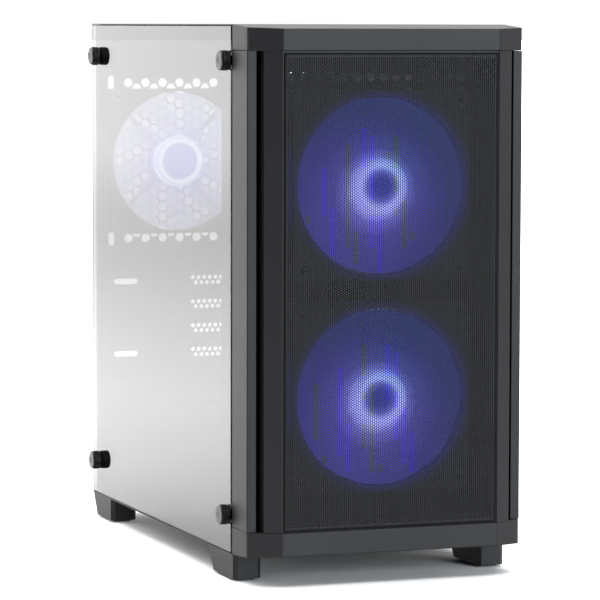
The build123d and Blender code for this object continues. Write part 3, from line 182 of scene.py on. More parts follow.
def lathe(profile, centre, axis, turns=64, wobble=None):
    """A profile of (distance along the axis, radius) turned about an axis through centre.

    wobble(angle, along) is an optional change of radius. Both ends are closed by caps."""
    along, radius = np.asarray(profile, float).T
    angle = np.linspace(0, TAU, turns, endpoint=False)
    grow = wobble(angle[None, :], along[:, None]) if wobble else 0.0
    r = radius[:, None] + grow
    axis = np.asarray(axis, float)
    side = np.array([0.0, 0.0, 1.0]) if abs(axis[2]) < 0.5 else np.array([1.0, 0.0, 0.0])
    third = np.cross(axis, side)
    ring = (np.cos(angle)[:, None] * side + np.sin(angle)[:, None] * third)
    rings = centre + along[:, None, None] * axis + r[..., None] * ring
    return stack(rings)


# ---------------------------------------------------------------- shared effects
def group(name, inputs, outputs):
    """An empty shader node group with float, vector and colour sockets, and its input and output nodes."""
    kinds = {"f": "NodeSocketFloat", "v": "NodeSocketVector", "c": "NodeSocketColor"}
    tree = bpy.data.node_groups.new(name, "ShaderNodeTree")
    for label, kind, value in inputs:
        made = tree.interface.new_socket(name=label, in_out="INPUT", socket_type=kinds[kind])
        if value is not None:
            made.default_value = value
    for label, kind in outputs:
        tree.interface.new_socket(name=label, in_out="OUTPUT", socket_type=kinds[kind])
    return tree, tree.nodes.new("NodeGroupInput"), tree.nodes.new("NodeGroupOutput")


def math_node(tree, operation, first, second=None, clamp=False):
    """A Math node fed with sockets or numbers; returns its output."""
    node = tree.nodes.new("ShaderNodeMath")
    node.operation = operation
    node.use_clamp = clamp
    for socket, value in zip(node.inputs, (first, second)):
        if value is None:
            continue
        if isinstance(value, (int, float)):
            socket.default_value = value
        else:
            tree.links.new(value, socket)
    return node.outputs[0]


def noise(tree, vector, scale, detail, roughness=0.5):
    """A Noise Texture on a vector; returns its value."""
    node = tree.nodes.new("ShaderNodeTexNoise")
    node.inputs["Scale"].default_value = scale
    node.inputs["Detail"].default_value = detail
    node.inputs["Roughness"].default_value = roughness
    tree.links.new(vector, node.inputs["Vector"])
    return node.outputs["Fac"]


def ramp(tree, value, stops):
    """The colour of a colour ramp at a value: stops are (position, colour)."""
    node = tree.nodes.new("ShaderNodeValToRGB")
    elements = node.color_ramp.elements
    while len(elements) < len(stops):
        elements.new(0.5)
    for element, (position, colour) in zip(elements, stops):
        element.position = position
        element.color = (*colour, 1.0)
    tree.links.new(value, node.inputs["Fac"])
    return node.outputs["Color"]


def make_grain_group():
    """Fine surface texture: a height for bump, and a roughness and colour that drift over the piece."""
    tree, start, end = group(
        "surface_grain",
        [("Position", "v", None), ("Grain", "f", 2500.0), ("Base", "c", (0.04, 0.04, 0.04, 1)),
         ("Colour spread", "f", 0.12), ("Roughness", "f", 0.45), ("Roughness spread", "f", 0.1)],
        [("Color", "c"), ("Roughness", "f"), ("Height", "f")])
    fine = tree.nodes.new("ShaderNodeTexNoise")
    fine.inputs["Detail"].default_value = 2.0
    tree.links.new(start.outputs["Position"], fine.inputs["Vector"])
    tree.links.new(start.outputs["Grain"], fine.inputs["Scale"])
    tree.links.new(fine.outputs["Fac"], end.inputs["Height"])
    broad = noise(tree, start.outputs["Position"], 9.0, 4.0, 0.6)
    swing = math_node(tree, "SUBTRACT", broad, 0.5)
    rough = math_node(tree, "MULTIPLY", swing, start.outputs["Roughness spread"])
    rough = math_node(tree, "ADD", rough, start.outputs["Roughness"])
    speck = math_node(tree, "MULTIPLY", math_node(tree, "SUBTRACT", fine.outputs["Fac"], 0.5), 0.04)
    tree.links.new(math_node(tree, "ADD", rough, speck, clamp=True), end.inputs["Roughness"])
    gain = math_node(tree, "MULTIPLY", swing, start.outputs["Colour spread"])
    gain = math_node(tree, "ADD", gain, 1.0)
    scale = tree.nodes.new("ShaderNodeVectorMath")
    scale.operation = "SCALE"
    tree.links.new(start.outputs["Base"], scale.inputs[0])
    tree.links.new(gain, scale.inputs["Scale"])
    tree.links.new(scale.outputs["Vector"], end.inputs["Color"])
    return tree


def make_polar_group():
    """Distance and angle about an axis through a centre, from a position in the plane across it."""
    tree, start, end = group(
        "polar",
        [("Position", "v", None), ("Centre", "v", None), ("Facing", "v", None)],
        [("Radius", "f"), ("Angle", "f")])
    offset = tree.nodes.new("ShaderNodeVectorMath")
    offset.operation = "SUBTRACT"
    tree.links.new(start.outputs["Position"], offset.inputs[0])
    tree.links.new(start.outputs["Centre"], offset.inputs[1])
    flat = tree.nodes.new("ShaderNodeVectorMath")
    flat.operation = "MULTIPLY"
    tree.links.new(offset.outputs["Vector"], flat.inputs[0])
    tree.links.new(start.outputs["Facing"], flat.inputs[1])
    length = tree.nodes.new("ShaderNodeVectorMath")
    length.operation = "LENGTH"
    tree.links.new(flat.outputs["Vector"], length.inputs[0])
    tree.links.new(length.outputs["Value"], end.inputs["Radius"])
    parts = tree.nodes.new("ShaderNodeSeparateXYZ")
    tree.links.new(flat.outputs["Vector"], parts.inputs["Vector"])
    angle = math_node(tree, "ARCTAN2", parts.outputs["Z"], parts.outputs["X"])
    tree.links.new(angle, end.inputs["Angle"])
    return tree


GRAIN = make_grain_group()
POLAR = make_polar_group()


def material(name):
    """An empty material with its Principled shader and a socket for the object's own coordinates."""
    made = bpy.data.materials.new(name)
    made.use_nodes = True
    tree = made.node_tree
    shader = tree.nodes["Principled BSDF"]
    coordinates = tree.nodes.new("ShaderNodeTexCoord").outputs["Object"]
    return made, tree, shader, coordinates


def add_group(tree, shared, position, **values):
    """A shared group in a material, with its own values; an underscore stands for a socket name's space."""
    node = tree.nodes.new("ShaderNodeGroup")
    node.node_tree = shared
    tree.links.new(position, node.inputs["Position"])
    for label, value in values.items():
        node.inputs[label.replace("_", " ")].default_value = value
    return node


def grained(name, colour, rough, grain, bump, metal=0.0, spread=0.12, coat=0.0, specular=0.5):
    """A finish with fine grain: its colour and roughness drift, and the grain lifts it by bump mm."""
    made, tree, shader, position = material(name)
    node = add_group(tree, GRAIN, position, Grain=grain, Base=(*colour, 1), Colour_spread=spread,
                     Roughness=rough, Roughness_spread=0.1)
    tree.links.new(node.outputs["Color"], shader.inputs["Base Color"])
    tree.links.new(node.outputs["Roughness"], shader.inputs["Roughness"])
    lift = tree.nodes.new("ShaderNodeBump")
    lift.inputs["Strength"].default_value = 0.6
    lift.inputs["Distance"].default_value = bump * MM
    tree.links.new(node.outputs["Height"], lift.inputs["Height"])
    tree.links.new(lift.outputs["Normal"], shader.inputs["Normal"])
    shader.inputs["Metallic"].default_value = metal
    shader.inputs["Coat Weight"].default_value = coat
    shader.inputs["Coat Roughness"].default_value = 0.25
    shader.inputs["Specular IOR Level"].default_value = specular
    return made


def lit(name, node, facing, reach, stops, sweep, clear):
    """Frosted plastic lit from the hub: light falls off away from the axis and shifts hue round it.

    sweep is (turn of the shift, its hue, how much sooner the light falls off there).
    clear is (share of light let through, share of the reach it starts at)."""
    made, tree, shader, position = material(name)
    polar = add_group(tree, POLAR, position, Centre=tuple(middle(node)), Facing=facing)
    radius = math_node(tree, "DIVIDE", polar.outputs["Radius"], reach, clamp=True)
    turn = math_node(tree, "ADD", polar.outputs["Angle"], sweep[0])
    round_it = math_node(tree, "COSINE", turn)
    bulge = math_node(tree, "MULTIPLY", math_node(tree, "MULTIPLY", radius, radius), sweep[2])
    glow = ramp(tree, math_node(tree, "ADD", radius, math_node(tree, "MULTIPLY", round_it, bulge)), stops)
    wave = math_node(tree, "MULTIPLY", round_it, 0.5)
    wave = math_node(tree, "POWER", math_node(tree, "ADD", wave, 0.5), 2.5)
    fade = math_node(tree, "MULTIPLY", wave, math_node(tree, "MULTIPLY", radius, 1.2, clamp=True))
    mix = tree.nodes.new("ShaderNodeMix")
    mix.data_type = "RGBA"
    mix.blend_type = "MULTIPLY"
    tree.links.new(fade, mix.inputs["Factor"])
    tree.links.new(glow, mix.inputs["A"])
    mix.inputs["B"].default_value = (*sweep[1], 1)
    tree.links.new(mix.outputs["Result"], shader.inputs["Emission Color"])
    shader.inputs["Emission Strength"].default_value = 1.0
    shader.inputs["Base Color"].default_value = (0.005, 0.005, 0.012, 1)
    if clear[0]:
        outside = math_node(tree, "GREATER_THAN", radius, clear[1])
        through = math_node(tree, "MULTIPLY", outside, clear[0])
        tree.links.new(math_node(tree, "SUBTRACT", 1.0, through), shader.inputs["Alpha"])
    shader.inputs["Roughness"].default_value = 0.6
    shader.inputs["Specular IOR Level"].default_value = 0.1
    return made


def clear_glass():
    """Smoked tempered glass."""
    made, tree, shader, position = material("smoked_glass")
    cloud = noise(tree, position, 6.0, 3.0)
    tint = ramp(tree, cloud, [(0.3, (0.150, 0.155, 0.158)), (0.7, (0.165, 0.170, 0.173))])
    tree.links.new(tint, shader.inputs["Base Color"])
    shader.inputs["Transmission Weight"].default_value = 1.0
    shader.inputs["Roughness"].default_value = 0.0
    shader.inputs["IOR"].default_value = 1.52
    return made


def circuit_board():
    """Black solder resist with faint traces and a scatter of small pads."""
    made, tree, shader, position = material("circuit_board")
    lines = tree.nodes.new("ShaderNodeTexBrick")
    lines.inputs["Scale"].default_value = 90.0
    lines.inputs["Mortar Size"].default_value = 0.06
    lines.inputs["Color1"].default_value = (0.012, 0.014, 0.016, 1)
    lines.inputs["Color2"].default_value = (0.016, 0.018, 0.020, 1)
    lines.inputs["Mortar"].default_value = (0.035, 0.038, 0.042, 1)
    turned = tree.nodes.new("ShaderNodeMapping")
    turned.inputs["Rotation"].default_value = (0, math.radians(90), 0)
    tree.links.new(position, turned.inputs["Vector"])
    tree.links.new(turned.outputs["Vector"], lines.inputs["Vector"])
    cells = tree.nodes.new("ShaderNodeTexVoronoi")
    cells.inputs["Scale"].default_value = 260.0
    tree.links.new(position, cells.inputs["Vector"])
    pads = ramp(tree, cells.outputs["Distance"], [(0.10, (1, 1, 1)), (0.13, (0, 0, 0))])
    mix = tree.nodes.new("ShaderNodeMix")
    mix.data_type = "RGBA"
    tree.links.new(pads, mix.inputs["Factor"])
    tree.links.new(lines.outputs["Color"], mix.inputs["A"])
    mix.inputs["B"].default_value = (0.35, 0.3, 0.16, 1)
    tree.links.new(mix.outputs["Result"], shader.inputs["Base Color"])
    shader.inputs["Roughness"].default_value = 0.35
    return made


PLASTIC = grained("satin_moulding", (0.008, 0.008, 0.009), 0.50, 2600, 0.03, specular=0.22)
PLASTIC_INNER = grained("matt_moulding", (0.012, 0.012, 0.013), 0.55, 2200, 0.04)
STEEL = grained("powder_coat", (0.009, 0.009, 0.010), 0.5, 1500, 0.06, specular=0.25)
# Painted shade: a darker, duller copy of the powder coat, for steel that lies in shade behind the fascia
# (the chassis front behind the mesh, and the mesh's rim).
SHADE_PAINTED_STEEL = grained("powder_coat_painted_shade", (0.003, 0.003, 0.003), 0.7, 1500, 0.06, specular=0.08)
MESH_PAINT = grained("mesh_paint", (0.023, 0.023, 0.024), 0.5, 3000, 0.02, specular=0.12)
RUBBER = grained("rubber", (0.015, 0.015, 0.015), 0.75, 1800, 0.05)
FAN_PLASTIC = grained("fan_plastic", (0.004, 0.004, 0.005), 0.6, 2000, 0.03, specular=0.1)
BLACK_OXIDE = grained("black_oxide", (0.02, 0.02, 0.022), 0.38, 3000, 0.01, metal=0.6)
TURNED_STEEL = grained("turned_steel", (0.07, 0.07, 0.073), 0.42, 900, 0.03, metal=1.0, spread=0.9)
PLATED = grained("plated_steel", (0.24, 0.245, 0.25), 0.45, 1200, 0.01, metal=1.0)
BRASS = grained("brass", (0.78, 0.58, 0.28), 0.3, 1500, 0.01, metal=1.0)
ALUMINIUM = grained("aluminium", (0.66, 0.67, 0.69), 0.38, 900, 0.02, metal=1.0)
SPREADER = grained("anodised_black", (0.03, 0.03, 0.034), 0.35, 1800, 0.02, metal=0.5)
DRIVE = grained("anodised_grey", (0.22, 0.22, 0.23), 0.4, 1600, 0.02, metal=0.7)
SOCKET = grained("socket_plastic", (0.012, 0.012, 0.013), 0.4, 2400, 0.02)
GLOSS = grained("button_gloss", (0.03, 0.03, 0.033), 0.2, 3000, 0.005, coat=0.3)
CLOTH = grained("filter_nylon", (0.03, 0.03, 0.03), 0.6, 3500, 0.02)
GLASS = clear_glass()
BOARD = circuit_board()

NODE_FINISH = {
    # The chassis front takes the powder coat copy with painted shade.
    SHADE_PAINTED_STEEL: ["chassis_front"],
    STEEL: ["chassis_bottom", "chassis_top", "chassis_rear", "motherboard_tray", "psu_shroud",
            "side_panel", "slot_covers", "psu_case"],
    PLASTIC: ["feet", "top_io_panel", "top_filter_frame", "psu_filter"],
    RUBBER: ["foot_pads", "glass_grommets"],
    FAN_PLASTIC: ["front_fan_upper_frame", "front_fan_lower_frame", "rear_fan_frame", "cpu_fan_frame",
                  "psu_fan_frame", "psu_fan_rotor", "cpu_fan_rotor"],
    BLACK_OXIDE: ["fan_screws"],
    PLATED: ["board_screws", "rear_screws", "io_shield", "psu_fan_guard", "rear_io_ports",
             "processor_socket"],
    BRASS: ["board_standoffs"],
    ALUMINIUM: ["cpu_heatsink", "chipset_heatsink"],
    SPREADER: ["memory_modules"],
    DRIVE: ["solid_state_drive"],
    SOCKET: ["memory_sockets", "card_sockets", "power_sockets", "psu_inlet_and_housing", "psu_switch",
             "top_io_sockets"],
    GLOSS: ["power_button", "reset_button"],
    BOARD: ["motherboard"],
    GLASS: ["glass_panel"],
}
for finish, names in NODE_FINISH.items():
    for name in names:
        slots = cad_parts[name].data.materials
        slots.clear()
        slots.append(finish)


# ---------------------------------------------------------------- front mouldings
CHAMFER_FLAT = MESH_HIGH[0] - CENTRE_X + 0.6 * MM    # half width of the flat front
BAR_DEPTH = box("front_pillar_left")[1][1] - FRONT
CHAMFER_DEPTH = box("front_pillar_left")[0][1] - FRONT
CHAMFER_RUN = (HALF - CHAMFER_FLAT) / CHAMFER_DEPTH
WALL = 2.6 * MM
PARTING = 0.22 * MM                                  # uprights reach this far into the parting gaps
SOFT = 0.8 * MM                                      # radius of the mouldings' edges
RIM_SOFT = 0.3 * MM                                  # bevel of a bar's rear rim


def half_width(depth, wall=0.0):
    """Half the fascia's width at a depth: wider along the chamfer, then a small arc, then straight."""
    slant = (math.hypot(1.0, CHAMFER_RUN) - 1.0) / CHAMFER_RUN
    ahead = CHAMFER_DEPTH + wall * slant - depth
    bend = (ahead + np.sqrt(ahead ** 2 + (1.0 * MM) ** 2)) / 2
    return HALF - wall - CHAMFER_RUN * bend


def bar_section(depth, low, high, inset, wall=0.0):
    """One rounded rectangle across the bar at a depth behind the front."""
    reach = half_width(depth, wall) - inset
    corners = [(-reach, low + inset), (reach, low + inset), (reach, high - inset), (-reach, high - inset)]
    loop = rounded_loop(corners, SOFT * 0.9)
    return np.stack([CENTRE_X + loop[:, 0], np.full(len(loop), FRONT + depth), loop[:, 1]], axis=-1)


def fascia_bar(flat, front, rear):
    """A hollow bar: rounded sections from its front back, round the rear rim, and forward again inside."""
    def edges(depth, wall=0.0):
        sloped = front + (rear - front) * depth / BAR_DEPTH
        low, high = min(flat, sloped), max(flat, sloped)
        return low + wall, high - wall
    rings = []
    for turn in np.linspace(0, math.pi / 2, 5):
        depth = SOFT * (1 - math.cos(turn))
        rings.append(bar_section(depth, *edges(depth), SOFT * (1 - math.sin(turn))))
    stations = np.concatenate([np.linspace(1.5 * MM, CHAMFER_DEPTH - 2 * MM, 4),
                               CHAMFER_DEPTH + np.linspace(-1.4, 2.5, 9) * MM,
                               [BAR_DEPTH / 2, BAR_DEPTH - RIM_SOFT]])
    rings += [bar_section(depth, *edges(depth), 0.0) for depth in stations]
    rings.append(bar_section(BAR_DEPTH, *edges(BAR_DEPTH), RIM_SOFT))
    inside = np.concatenate([[BAR_DEPTH], CHAMFER_DEPTH + np.linspace(6, 0, 4) * MM, [WALL]])
    rings += [bar_section(depth, *edges(depth, WALL), 0.0, WALL) for depth in inside]
    return stack(rings)


def prism(outline, low, high):
    """A plan outline carried straight up between two heights."""
    outline = np.asarray(outline)
    rings = [np.column_stack([outline, np.full(len(outline), z)]) for z in (low, high)]
    return stack(rings)


def slab(low, high):
    """A plain box between two corners, for the hidden pieces of a moulding."""
    (x0, y0, z0), (x1, y1, z1) = low, high
    outline = [(x0, y0), (x1, y0), (x1, y1), (x0, y1)]
    return prism(outline, z0, z1)


def turned_over(outline, mirror):
    """The outline as it is, or mirrored in the middle of the case."""
    if not mirror:
        return outline
    flipped = outline.copy()
    flipped[:, 0] = 2 * CENTRE_X - flipped[:, 0]
    return flipped[::-1]


def pillar_outline():
    """Plan of the right pillar: a channel with softened outer corners, open to the back."""
    wall = 2.5 * MM
    side_wall = 2 * MM
    outer = CENTRE_X + HALF
    inner = box("front_pillar_right")[0][0]
    near = FRONT + CHAMFER_DEPTH
    far = FRONT + BAR_DEPTH
    corners = [(inner, far), (inner, near), (outer, near), (outer, far), (outer - wall, far),
               (outer - wall, near + wall), (inner + side_wall, near + wall), (inner + side_wall, far)]
    radii = np.array([0.2, 0.7, 0.9, 0.3, 0.2, 0.5, 0.5, 0.2]) * MM
    return rounded_loop(corners, radii)


MESH_LIP = 3.6 * MM             # from the flat's edge, how far the seat reaches in behind the mesh
SEAT_PLAY = 0.1 * MM            # between the mesh and its seat
SEAT_BACK = 3 * MM              # the seat's rear face, behind the front


def upright_outline():
    """Plan of the mesh frame's right upright: a chamfered face, an inner wall and a seat for the mesh."""
    flat = CENTRE_X + CHAMFER_FLAT
    edge = box("mesh_frame")[1][0]
    back = box("mesh_frame")[1][1]
    edge_depth = FRONT + (edge - flat) / CHAMFER_RUN
    lip = flat - MESH_LIP
    seat = MESH_HIGH[1] + SEAT_PLAY
    wall = 2 * MM
    near = flat - 0.2 * MM
    corners = [(near, FRONT), (flat + 0.3 * MM, FRONT + 0.05 * MM), (edge, edge_depth), (edge, back),
               (edge - wall, back), (edge - wall, edge_depth + wall), (near, FRONT + SEAT_BACK),
               (lip, FRONT + SEAT_BACK), (lip, seat), (near, seat)]
    radii = np.array([0.08, 0.1, 0.5, 0.2, 0.2, 0.5, 0.3, 0.1, 0.1, 0.05]) * MM
    return rounded_loop(corners, radii)


def mesh_frame_shape():
    """The mesh's surround: two uprights, a strip at each end of the seat, and tabs behind the bars."""
    tab_half = 8 * MM
    tab_back = 4.4 * MM
    overlap = 1 * MM
    low, high = box("mesh_frame")
    bar_low = box("front_pillar_left")[0][2] - PARTING
    bar_high = box("front_pillar_left")[1][2] + PARTING
    lip = CHAMFER_FLAT - MESH_LIP
    seat = MESH_HIGH[1] + SEAT_PLAY
    outline = upright_outline()
    shapes = [prism(outline, bar_low, bar_high), prism(turned_over(outline, True), bar_low, bar_high)]
    for z0, z1 in ((bar_low, bar_low + 3.5 * MM), (bar_high - 4.5 * MM, bar_high)):
        shapes.append(slab((CENTRE_X - lip, seat, z0), (CENTRE_X + lip, FRONT + SEAT_BACK, z1)))
    for across in (-40, 0, 40):
        x = CENTRE_X + across * MM
        for z0, z1 in ((low[2], bar_low + overlap), (bar_high - overlap, high[2])):
            shapes.append(slab((x - tab_half, FRONT + SEAT_BACK, z0), (x + tab_half, FRONT + tab_back, z1)))
    return joined(*shapes)


def clip_shape():
    """Four push-in clips: a rib inside the bar, and a post with a barbed nose."""
    across = 60 * MM
    rib_half = 3 * MM
    rib_rise = 4 * MM
    heights = (box("front_top_bar")[0][2] + 8 * MM, box("front_bottom_bar")[1][2] - 10 * MM)
    rear = box("front_top_bar")[1][1]
    profile = np.array([(-8.0, 2.1), (-2.4, 2.1), (-2.0, 1.7), (-1.6, 2.1), (-0.6, 1.5), (0.0, 0.8)]) * MM
    shapes = []
    for x in (CENTRE_X - across, CENTRE_X + across):
        for z in heights:
            shapes.append(lathe(profile, np.array([x, rear, z]), (0, 1, 0), 24))
            shapes.append(slab((x - rib_half, FRONT + WALL, z - rib_rise),
                               (x + rib_half, FRONT + BAR_DEPTH, z + rib_rise)))
    return joined(*shapes)


top_low, top_high = box("front_top_bar")
bottom_low, bottom_high = box("front_bottom_bar")
TOP_FRONT_DROP = 3.1 * MM       # the top bar's front edge, below its rear edge
BOTTOM_FRONT_RISE = 3.5 * MM    # the bottom bar's front edge, above its rear edge
top_bar = fascia_bar(top_low[2], top_high[2] - TOP_FRONT_DROP, top_high[2])
bottom_bar = fascia_bar(bottom_high[2], bottom_low[2] + BOTTOM_FRONT_RISE, bottom_low[2])
mouldings = [
    ("top_bar", top_bar, "front_top_bar"),
    ("bottom_bar", bottom_bar, "front_bottom_bar"),
    ("mesh_surround", mesh_frame_shape(), "mesh_frame")]
pillar_low, pillar_high = box("front_pillar_left")
for side, mirror in (("left", True), ("right", False)):
    outline = turned_over(pillar_outline(), mirror)
    upright = prism(outline, pillar_low[2] - PARTING, pillar_high[2] + PARTING)
    mouldings.append((f"pillar_{side}", upright, f"front_pillar_{side}"))
for name, shape, node in mouldings:
    even_flats(piece(name, shape, "front_panel", PLASTIC, [node]))
piece("fascia_clips", clip_shape(), "front_panel", PLASTIC_INNER)


# ---------------------------------------------------------------- punched mesh
def cell_counts(low, high, pitch):
    """How many staggered columns and rows of cells fit between two corners, and the first cell's centre."""
    ring = pitch / math.sqrt(3)
    columns = int((high[0] - low[0] - 2 * ring) / (1.5 * ring)) + 1
    rows = int((high[1] - low[1] - 1.5 * pitch) / pitch) + 1
    start = (low[0] + high[0] - (columns - 1) * 1.5 * ring) / 2
    base = (low[1] + high[1] - (rows - 0.5) * pitch) / 2
    return columns, rows, start, base


def punched(columns, rows, start, base, pitch, hole, sheet_axis, thick):
    """A sheet of six-sided cells, each with a six-sided hole.

    The cells stand in staggered columns. Their corners are shared, so the sheet is one closed surface with
    a zigzag edge, and a second sheet that carries on the rows fits against it. It lies across sheet_axis:
    from 0 back to thick for y, and from 0 down to thick for z."""
    ring = pitch / math.sqrt(3)
    i, j = np.meshgrid(np.arange(columns), np.arange(rows), indexing="ij")
    across = start + i * 1.5 * ring
    centre = np.stack([across, base + j * pitch + (i % 2) * pitch / 2], axis=-1).reshape(-1, 1, 2)
    turn = np.arange(6) * TAU / 6
    spoke = np.stack([np.cos(turn), np.sin(turn)], axis=-1)
    outer = (centre + spoke * ring).reshape(-1, 2)
    inner = (centre + spoke * hole / math.sqrt(3)).reshape(-1, 2)
    key = np.round(outer / (ring * 0.05)).astype(np.int64)
    _, first, shared = np.unique(key, axis=0, return_index=True, return_inverse=True)
    shared = shared.ravel()
    corner = outer[first]
    count = len(centre)
    outside = shared.reshape(count, 6)
    inside = np.arange(count * 6).reshape(count, 6) + len(corner)
    flat = np.concatenate([corner, inner])
    total = len(flat)
    next_out = np.roll(outside, -1, axis=1)
    next_in = np.roll(inside, -1, axis=1)
    face = np.stack([outside, next_out, next_in, inside], axis=-1).reshape(-1, 4)
    hole_wall = np.stack([inside, next_in, next_in + total, inside + total], axis=-1).reshape(-1, 4)
    edge = np.stack([outside, next_out], axis=-1).reshape(-1, 2)
    ordered = np.sort(edge, axis=1)
    _, where, times = np.unique(ordered, axis=0, return_index=True, return_counts=True)
    rim = edge[where[times == 1]]
    rim_wall = np.stack([rim[:, 1], rim[:, 0], rim[:, 0] + total, rim[:, 1] + total], axis=-1)
    quads = np.concatenate([face, face[:, ::-1] + total, hole_wall, rim_wall])
    level = np.repeat([0.0, thick], total)
    doubled = np.concatenate([flat, flat])
    if sheet_axis == "y":
        points = np.stack([doubled[:, 0], level, doubled[:, 1]], axis=-1)
    else:
        points = np.stack([doubled[:, 0], doubled[:, 1], -level], axis=-1)
    return points, quads, []


MESH_PITCH = 1.882 * MM
MESH_HOLE = 1.42 * MM
MESH_RIM = 0.9 * MM             # plain edge of the sheet
MESH_PLAY = 0.45 * MM           # the visible sheet stands this far inside its seat
MESH_BANDS = 4
MESH_THICK = 0.7 * MM
MESH_MARGIN = 0.4 * MM          # cells start this far inside the sheet's edge
BAND_SETBACK = 0.05 * MM        # the punched bands lie this far behind the front


def front_mesh():
    """The punched sheet in bands, each under its own name, and the plain rim round them."""
    edge = [(MESH_LOW[0] + MESH_PLAY, MESH_LOW[2]), (MESH_HIGH[0] - MESH_PLAY, MESH_LOW[2]),
            (MESH_HIGH[0] - MESH_PLAY, MESH_HIGH[2]), (MESH_LOW[0] + MESH_PLAY, MESH_HIGH[2])]
    corner = np.array(edge[0]) + MESH_MARGIN
    opposite = np.array(edge[2]) - MESH_MARGIN
    columns, rows, start, base = cell_counts(corner, opposite, MESH_PITCH)
    ends = np.linspace(0, rows, MESH_BANDS + 1).astype(int)
    for band, (first, last) in enumerate(zip(ends[:-1], ends[1:])):
        points, quads, caps = punched(columns, last - first, start, base + first * MESH_PITCH, MESH_PITCH,
                                      MESH_HOLE, "y", MESH_THICK)
        points[:, 1] += FRONT + BAND_SETBACK
        piece(f"mesh_band_{band + 1}", (points, quads, caps), "front_panel", MESH_PAINT,
              ["front_mesh"] if band == 0 else (), crease=0)
    inward = np.array([(1, 1), (-1, 1), (-1, -1), (1, -1)]) * 1.5 * MESH_RIM
    outside = rounded_loop(edge, 0.5 * MM)
    inside = rounded_loop(edge + inward, 0.4 * MM)
    loops = [np.stack([loop[:, 0], np.full(len(loop), y), loop[:, 1]], axis=-1)
             for loop, y in ((outside, FRONT + 0.12 * MM), (outside, MESH_HIGH[1]), (inside, MESH_HIGH[1]),
                             (inside, FRONT))]
    # The rim takes the powder coat copy with painted shade.
    piece("mesh_rim", stack(loops, closed=True), "front_panel", SHADE_PAINTED_STEEL)


front_mesh()


# ---------------------------------------------------------------- fans
FAN_BLADES = 9
BLADE_OVERLAP = 1.8             # a blade's angle as a share of one blade's part of the turn
BLADE_LEAN = 0.35               # radians from hub to tip
BLADE_THICK = 1.3 * MM
BLADE_FRONT = 2 * MM            # the blades' reach along the axis, behind the hub's front
BLADE_BACK = 11 * MM


def swept_blade(hub, tip, front, back, share, lean, thick, start):
    """One fan blade: sections across the blade from hub to tip, each a thin cambered strip round the axis.

    At a radius r the strip spans an angle of share, centred on start plus a lean that grows with r, and
    climbs from front to back with a gentle S. Local z is the fan's axis."""
    radii = np.linspace(hub, tip, 12)
    chord = np.linspace(-1, 1, 14)
    out = (radii - hub) / (tip - hub)
    angle = start + lean * out[:, None] ** 1.4 + chord[None, :] * share / 2 * (1 - 0.10 * out[:, None])
    wave = 0.86 * chord + 0.14 * np.sin(math.pi * chord)
    climb = 0.5 * (front + back) + 0.5 * (back - front - 2 * thick) * wave
    climb = np.broadcast_to(climb, angle.shape)
    half = thick / 2 * np.sqrt(np.clip(1 - chord ** 2, 0.08, 1))
    x = radii[:, None] * np.cos(angle)
    y = radii[:, None] * np.sin(angle)
    upper = np.stack([x, y, climb + half], axis=-1)
    lower = np.stack([x, y, climb - half], axis=-1)[:, ::-1]
    return stack(np.concatenate([upper, lower], axis=1))


def fan_shape(centre, hub, tip, back):
    """Hub with a domed cap and a raised ring, and its blades, with the axis along Y from 0 to back."""
    share = TAU / FAN_BLADES * BLADE_OVERLAP
    shapes = []
    for k in range(FAN_BLADES):
        shapes.append(swept_blade(hub - 0.6 * MM, tip, BLADE_FRONT, BLADE_BACK, share, BLADE_LEAN,
                                  BLADE_THICK, k * TAU / FAN_BLADES))
    profile = [(back - 0.6 * MM, hub * 0.55), (back - 0.2 * MM, hub * 0.96), (2.6 * MM, hub),
               (1.2 * MM, hub * 0.985), (0.3 * MM, hub * 0.94), (0.0, hub * 0.88),
               (0.3 * MM, hub * 0.78), (0.5 * MM, hub * 0.74), (0.2 * MM, hub * 0.66),
               (0.0, hub * 0.4), (0.0, hub * 0.1)]
    shapes.append(lathe(profile, np.zeros(3), (0, 0, 1), 72))
    points, quads, caps = joined(*shapes)
    turned = np.stack([points[:, 0], points[:, 2], points[:, 1]], axis=-1) + centre
    return turned, quads[:, ::-1], [cap[::-1] for cap in caps]


FAN_GLOW = [(0.0, (0.02, 0.03, 0.48)), (0.10, (0.03, 0.035, 0.50)), (0.17, (0.14, 0.15, 0.85)),
            (0.24, (0.60, 0.64, 1.75)), (0.29, (0.50, 0.52, 1.55)), (0.37, (0.19, 0.17, 0.88)),
            (0.48, (0.08, 0.06, 0.50)), (0.75, (0.035, 0.025, 0.33)), (1.0, (0.02, 0.02, 0.24))]
HALO = [(0.0, (0, 0, 0)), (0.86, (0, 0, 0)), (0.88, (0.008, 0.010, 0.13)), (0.93, (0.002, 0.003, 0.035)),
        (1.0, (0, 0, 0))]
REAR_GLOW = [(0.0, (0.50, 0.40, 1.9)), (0.26, (0.45, 0.35, 1.9)), (0.275, (2.0, 2.0, 2.6)),
             (0.325, (2.0, 2.0, 2.6)), (0.34, (0.8, 0.65, 2.4)), (0.352, (1.8, 1.8, 2.6)),
             (0.368, (1.8, 1.8, 2.6)), (0.385, (0.45, 0.3, 2.0)), (0.55, (0.75, 0.65, 1.7)),
             (1.0, (1.0, 0.98, 1.4))]
HALO_REACH = 75 * MM
